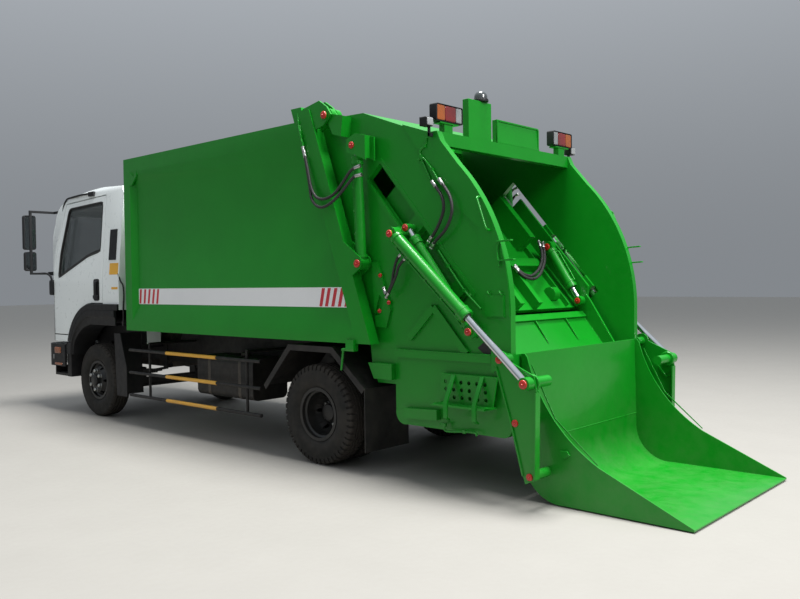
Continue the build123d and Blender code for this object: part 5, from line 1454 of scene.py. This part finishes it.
@dataclass
class HopperDress:
    """Ribs, shelf and brackets of the packer, clamps on the tailgate's edge, and the bucket's small parts."""

    # Blocks along the slots, as ranges of x, t and n
    beams: tuple = ((-600, 600, 2045, 2135, 4964, 5044), (-840, 840, 2440, 2560, 4928, 4966),
                    (-165, -105, 2136, 2556, 4964, 5052), (-165, -105, 1400, 2044, 4964, 5012),
                    (105, 165, 2136, 2556, 4964, 5052), (105, 165, 1400, 2044, 4964, 5012))
    edge_rib: tuple = (636, 648, 1420, 2550, 4964, 5010)
    shelf: tuple = (-820, 820, 2622, 2684, 4960, 4986)
    gusset: tuple = ((2690, 4962), (2900, 4962), (2690, 4984))
    gusset_middles: tuple = (-470, 0, 470)
    gusset_half: float = 7
    # Bearing boss as x, t, n of its middle, and its profile as distance along x and radius
    bearing: tuple = (520, 2420, 4990)
    bearing_profile: tuple = ((-50, 30), (-46, 62), (40, 62), (44, 40), (60, 40), (62, 20))
    eye_profile: tuple = ((0, 34), (1, 58), (5, 62), (18, 62), (22, 58), (24, 34))
    # Plates in the side view: outline as station and height, corner radius, x from and to
    clamps: tuple = (
        (((5841, 1819), (5969, 1825), (5969, 1837), (5841, 1831)), 5, 955, 985),
        (((5861, 1685), (5989, 1691), (5989, 1703), (5861, 1697)), 5, 955, 985))
    lever: tuple = ((972, 5852, 1826), (978, 5846, 1760), (978, 5862, 1650))
    hook_plate: tuple = (((5735, 1300), (5892, 1300), (5892, 1440), (5735, 1440)), 10, 970, 974)
    hook_stations: tuple = (5760, 5862)
    hook: tuple = ((962, 0, 1470), (982, 4, 1476), (984, 14, 1458), (964, 18, 1450))
    ledge: tuple = (((4862, 1018), (5788, 1018), (5788, 1026), (4862, 1026)), 0, 956, 990)
    # Dark plate on the tailgate's side where the packer's slot runs on: painted shadow of the opening there
    slot_shadow_outline: tuple = (((5654, 1067), (5742, 1133), (5816, 1070), (5806, 1021), (5735, 1009)), 10, 957.4, 961)
    bucket_plates: tuple = (
        (((6276, 388), (6330, 392), (6352, 362), (6306, 336), (6276, 348)), 0, 856, 872),
        (((6052, 960), (6238, 604), (6556, 330), (6552, 322), (6230, 596), (6044, 956)), 0, 857, 861),
        (((6092, 800), (6160, 716), (6216, 742), (6216, 728), (6158, 698), (6078, 794)), 0, 1046, 1060))
    # The sign board's border, as ranges of x, station and height
    border: tuple = ((-437, 180, 5274, 5288, 2856, 2869), (-437, 180, 5282, 5296, 2677, 2690),
                     (-437, -424, 5278, 5293, 2690, 2856), (167, 180, 5278, 5293, 2690, 2856))
    # The weld seam across the bucket's back: half its length, station and height, then its radius, its ripple
    # and the distance that the ripple is counted in
    seam: tuple = (846, 5983.5, 402.0)
    bead: tuple = (4, 0.9, 9)

    @staticmethod
    def plate(outline: tuple, radius: float, low: float, high: float) -> Shape:
        """Plate in the side view, with round corners where the radius isn't zero."""
        return Shape.sheet(rounded(outline, radius) if radius else outline, low, high)

    def carriage(self) -> Shape:
        """Cross beam, long ribs and the bearing bosses on the carriage's face.

        Returns:
            The pieces as one surface.
        """
        x, t, n = self.bearing
        boss = Shape.turned((x, *slot_point(t, n)), (1, 0, 0), self.bearing_profile, 28)
        side = slanted(*self.edge_rib) + boss
        return Shape.join([slanted(*beam) for beam in self.beams] + [side, side.on(-1)])

    def blade(self) -> Shape:
        """Bright shelf over the blade's root and the gussets that stiffen it.

        Returns:
            The pieces as one surface.
        """
        corners = [slot_point(*corner) for corner in self.gusset]
        half = self.gusset_half
        return Shape.join([slanted(*self.shelf)]
                          + [Shape.sheet(corners, x - half, x + half) for x in self.gusset_middles])

    def gate_side(self) -> Shape:
        """Flat plate with two hooks near the rear edge, and the ledge's lip.

        Returns:
            The left side's pieces.
        """
        hooks = [Shape.tube(smooth_route(np.add(self.hook, (0, station, 0)), 5), 4.5, 8)
                 for station in self.hook_stations]
        return Shape.join([self.plate(*self.hook_plate), *hooks, self.plate(*self.ledge)])

    def bucket(self) -> Shape:
        """Lug, fold, rod-end boss and bracket on each side, and the weld seam across the bucket's back.

        The seam is a tube whose radius is 4 mm plus 0.9 |sin| of the distance over 9 mm.

        Returns:
            The pieces as one surface.
        """
        boss = Shape.turned((1036, *BUCKET_EYE), (1, 0, 0), self.eye_profile, 32)
        side = Shape.join([self.plate(*plate) for plate in self.bucket_plates] + [boss])
        half, station, height = self.seam
        path = np.column_stack((np.linspace(-half, half, 190), np.full(190, station), np.full(190, height)))
        thick, ripple, step = self.bead
        radius = thick + ripple * np.abs(np.sin(path[:, :1, None] / step))
        return Shape.join([side, side.on(-1), Shape.swept(path, ring(1.0, 8)[None] * radius, (0, 1, 0))])

    def build(self, shop: Workshop) -> None:
        """Adds the pieces, each on its own body.

        Args:
            shop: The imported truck.
        """
        clamps = Shape.join([self.plate(*clamp) for clamp in self.clamps]
                            + [Shape.tube(smooth_route(self.lever, 6), 7, 10)])
        shop.add("carriage_ribs", self.carriage(), GREEN_ENAMEL, "carriage", round_mm=1.5)
        shop.add("blade_shelf", self.blade(), GREEN_ENAMEL, "blade", round_mm=1.5)
        shop.add("edge_clamps", clamps, GREEN_ENAMEL, "tailgate", round_mm=1.5, both=True)
        shop.add("gate_side_plates", self.gate_side(), GREEN_ENAMEL, "tailgate", round_mm=1.5, both=True)
        shop.add("bucket_fittings", self.bucket(), GREEN_ENAMEL, "bucket", round_mm=1.5)
        border = Shape.join([Shape.block(*bar, 2) for bar in self.border])
        shop.add("sign_frame", border, GREEN_ENAMEL, "tailgate", round_mm=1)
        # Black plates of painted shadow where the slots run on past the side
        shop.add("slot_shadow_plates", self.plate(*self.slot_shadow_outline), SEAL_RUBBER, "tailgate", both=True)


@dataclass
class Seats:
    """Driver's seat and the passengers' bench as crowned, sewn cushions."""

    pull: float = 0.03
    crown: float = 16.0
    channel_depth: float = 7.0
    channel_width: float = 0.035
    cross_channel: float = 0.55
    # Low corner, high corner, axis that the face looks along (2 for a cushion, 1 for a backrest), channels
    rows: tuple = (
        ((170, -150, 1161), (650, 330, 1399), 2, (-0.42, 0.42)),
        ((-650, -150, 1161), (-20, 330, 1399), 2, (-0.55, 0.0, 0.55)),
        ((170, 232, 1401), (650, 368, 1979), 1, (-0.42, 0.42)),
        ((-650, 232, 1401), (-20, 368, 1979), 1, (-0.55, 0.0, 0.55)),
    )

    def cushion(self, low: tuple, high: tuple, face: int, channels: tuple) -> Shape:
        """One cushion.

        Its sides pull in by pull (1 - q^2) between corners, its face crowns by crown (1 - a^2)(1 - b^2), and each
        sewn channel is a Gaussian valley across it.

        Args:
            low: Lowest corner.
            high: Highest corner.
            face: Axis that the face looks along, up at 2 and forward at 1.
            channels: Places of the channels, from -1 to 1 across.

        Returns:
            The cushion.
        """
        sign, other = (1, 1) if face == 2 else (-1, 2)
        low, high = np.array(low, float), np.array(high, float)
        (high if sign > 0 else low)[face] -= sign * self.crown
        shape, cube = Shape.pillow(tuple(low), tuple(high), 9, 40)
        half = (high - low) / 2
        points, a, b = shape.points, cube[:, 0], cube[:, other]
        points[:, 0] -= a * half[0] * self.pull * (1 - b ** 2)
        points[:, other] -= b * half[other] * self.pull * (1 - a ** 2)
        valleys = sum(np.exp(-((a - channel) / self.channel_width) ** 2) for channel in channels)
        cross = np.exp(-((b - self.cross_channel) / self.channel_width) ** 2)
        rise = self.crown * (1 - a ** 2) * (1 - b ** 2) - self.channel_depth * np.minimum(valleys + cross, 1)
        points[:, face] += sign * np.clip(sign * cube[:, face], 0, 1) * rise
        return shape

    def build(self, shop: Workshop) -> None:
        """Adds the cushions in the place of the CAD's seats.

        Args:
            shop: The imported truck.
        """
        cushions = Shape.join([self.cushion(*row) for row in self.rows])
        obj = shop.add("sewn_seats", cushions, SEAT_CLOTH, "cab", ("cab_seats",))


@dataclass
class ChassisDress:
    """Yellow sleeves on the side guards, and the tank's straps and cap."""

    sleeves: tuple = (1643, 2537)
    heights: tuple = (338, 588, 836)
    guard_x: float = 1033
    sleeve_radii: tuple = (17.2, 18.6)
    strap_stations: tuple = (2250, 2750)
    tank: tuple = ((500, 430), (920, 830))
    strap: tuple = ((-22, -1), (22, -1), (22, 4), (-22, 4))
    cap_place: tuple = (700, 2560, 829)
    cap: tuple = ((0, 40), (6, 46), (30, 46), (36, 40), (38, 20), (38, 4))

    def build(self, shop: Workshop) -> None:
        """Adds the chassis' small fittings.

        Args:
            shop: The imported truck.
        """
        start, length = self.sleeves[0], self.sleeves[1] - self.sleeves[0]
        inner, outer = self.sleeve_radii
        tube = [(0, inner), (0, outer), (length, outer), (length, inner)]
        sleeves = Shape.join([Shape.turned((self.guard_x, start, z), (0, 1, 0), tube) for z in self.heights])
        shop.add("guard_sleeves", sleeves, YELLOW_FILM, "chassis", both=True)
        outline = rounded(oblong(*self.tank), 60, 6)
        strap = np.array(self.strap, float)
        straps = [Shape.swept(np.insert(outline, 1, station, axis=1), strap, (0, 1, 0), closed=True)
                  for station in self.strap_stations]
        cap = Shape.turned(self.cap_place, (0, 0, 1), self.cap, 32)
        shop.add("tank_straps", Shape.join([*straps, cap]), BARE_STEEL, "chassis", round_mm=0.8)


@dataclass
class Studio:
    """Plain pale floor, soft lights and the camera at the photograph's angle."""

    eye: tuple = (5.666, 6.200, 1.552)
    yaw_deg: float = 47.53
    pitch_deg: float = -1.25
    roll_deg: float = -0.75
    focal_px: float = 815.3
    frame_px: tuple = (800, 599)
    sensor_mm: float = 36.0
    floor_half_mm: float = 60000.0
    horizon: float = 0.31
    zenith: float = 1.0
    sky: str = "dfe6ee"
    sky_top: float = 0.9
    clip_end: float = 200.0
    # Name, place, target, size, power
    plan: tuple = (
        ("overhead", (0.0, 2.0, 13.0), (0.0, 0.8, 0.0), 5.0, 3500.0),
        ("rear_fill", (0.5, 11.0, 8.5), (0.0, 3.0, 1.2), 4.0, 1100.0),
    )

    def build(self, shop: Workshop) -> None:
        """Makes the floor, the lights, the world and the camera.

        Args:
            shop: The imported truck.
        """
        half = self.floor_half_mm
        corners = np.array([(*corner, 0) for corner in oblong((-half, -half), (half, half))])
        sheet = Shape(corners, [np.array([[0, 1, 2, 3]])])
        shop.add("studio_floor", sheet, STUDIO_FLOOR, "", smooth=False, merge=False)
        self.lights()
        self.camera()

    def lights(self) -> None:
        """A wide soft box overhead, a fill from high behind, and a world that pales towards the top."""
        scene = bpy.context.scene
        scene.view_settings.view_transform = "Standard"
        world = bpy.data.worlds.new("studio_world")
        scene.world = world
        world.use_nodes = True
        tree = world.node_tree
        direction = add_node(tree, "ShaderNodeTexCoord").outputs["Generated"]
        height = add_node(tree, "ShaderNodeSeparateXYZ", {"Vector": direction}).outputs["Z"]
        background = tree.nodes["Background"]
        background.inputs["Color"].default_value = linear(self.sky)
        rise = remap(tree, height, (0.0, self.sky_top), (self.horizon, self.zenith), smooth=True)
        tree.links.new(rise, background.inputs["Strength"])
        for name, place, target, size, power in self.plan:
            light = bpy.data.lights.new(name, "AREA")
            light.shape = "DISK"
            light.size = size
            light.energy = power
            lamp = bpy.data.objects.new(name, light)
            lamp.location = place
            lamp.rotation_euler = (Vector(target) - Vector(place)).to_track_quat("-Z", "Y").to_euler()
            scene.collection.objects.link(lamp)

    def camera(self) -> None:
        """Camera from its yaw, pitch and roll: right = forward x up, then both turned by the roll."""
        yaw, pitch, roll = np.radians([self.yaw_deg, self.pitch_deg, self.roll_deg])
        forward = np.array([-np.sin(yaw) * np.cos(pitch), -np.cos(yaw) * np.cos(pitch), np.sin(pitch)])
        right = unit(np.cross(forward, (0, 0, 1)))
        up = np.cross(right, forward)
        right, up = np.cos(roll) * right + np.sin(roll) * up, -np.sin(roll) * right + np.cos(roll) * up
        data = bpy.data.cameras.new("photo_camera")
        data.sensor_width = self.sensor_mm
        data.lens = self.focal_px / self.frame_px[0] * self.sensor_mm
        data.clip_end = self.clip_end
        camera = bpy.data.objects.new("photo_camera", data)
        turn = Matrix((right, up, -forward)).transposed().to_4x4()
        camera.matrix_world = Matrix.Translation(Vector(self.eye)) @ turn
        bpy.context.scene.collection.objects.link(camera)
        bpy.context.scene.camera = camera


# Finish of each of the record's slots
LOOKS = {
    "body_green": GREEN_ENAMEL, "cab_white": WHITE_ENAMEL, "chassis_black": CHASSIS_BLACK,
    "rim_paint": WHEEL_PAINT, "tyre_rubber": TYRE_RUBBER, "clear_glass": SAFETY_GLASS,
    "chromed_rod": HARD_CHROME, "dark_plastic": BLACK_PLASTIC, "seat_trim": SEAT_CLOTH,
    "mirror_housing": BLACK_PLASTIC, "lamp_lens": CLEAR_LENS, "engine_iron": CAST_IRON,
}

# Nodes that a class replaces whole
REPLACED = {"cab_seats", "rear_lamps", "tyre_front_left", "tyre_front_right", "tyres_rear_left",
            "tyres_rear_right"}

# Name, x, base, eye, radius of the tube and the rod, length of the tube, side of the feed pipe
RAMS = (
    Ram("lift", 1045, LIFT_LOW, LIFT_HIGH, 40, 25, 860),
    Ram("bucket", 1118, BUCKET_BASE, BUCKET_EYE, 48, 27, 930, -1),
    Ram("carriage", 1006, CARRIAGE_LOW, CARRIAGE_HIGH, 38, 24, 880),
    Ram("blade", 780, BLADE_BASE, BLADE_EYE, 45, 26, 440),
)


def main() -> None:
    """Builds the truck's pieces in order and reports each."""
    logging.basicConfig(level=logging.INFO, format="%(message)s")
    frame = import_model()
    shop = Workshop(frame)
    for node, slot in shop.slot_of.items():
        if node not in REPLACED:
            NodeDressing(node, LOOKS[slot], ZONES.get(node, ())).build(shop)
    builders = (Wheels(), *RAMS, PinCaps(), Hoses(), Pipes(), BodyDress(), RearLamps(), CabTrim(),
                FrontFender(), HopperDress(), Seats(), ChassisDress(), Studio())
    for builder in builders:
        builder.build(shop)
        log.info("built %s", type(builder).__name__)


if __name__ == "__main__":
    main()
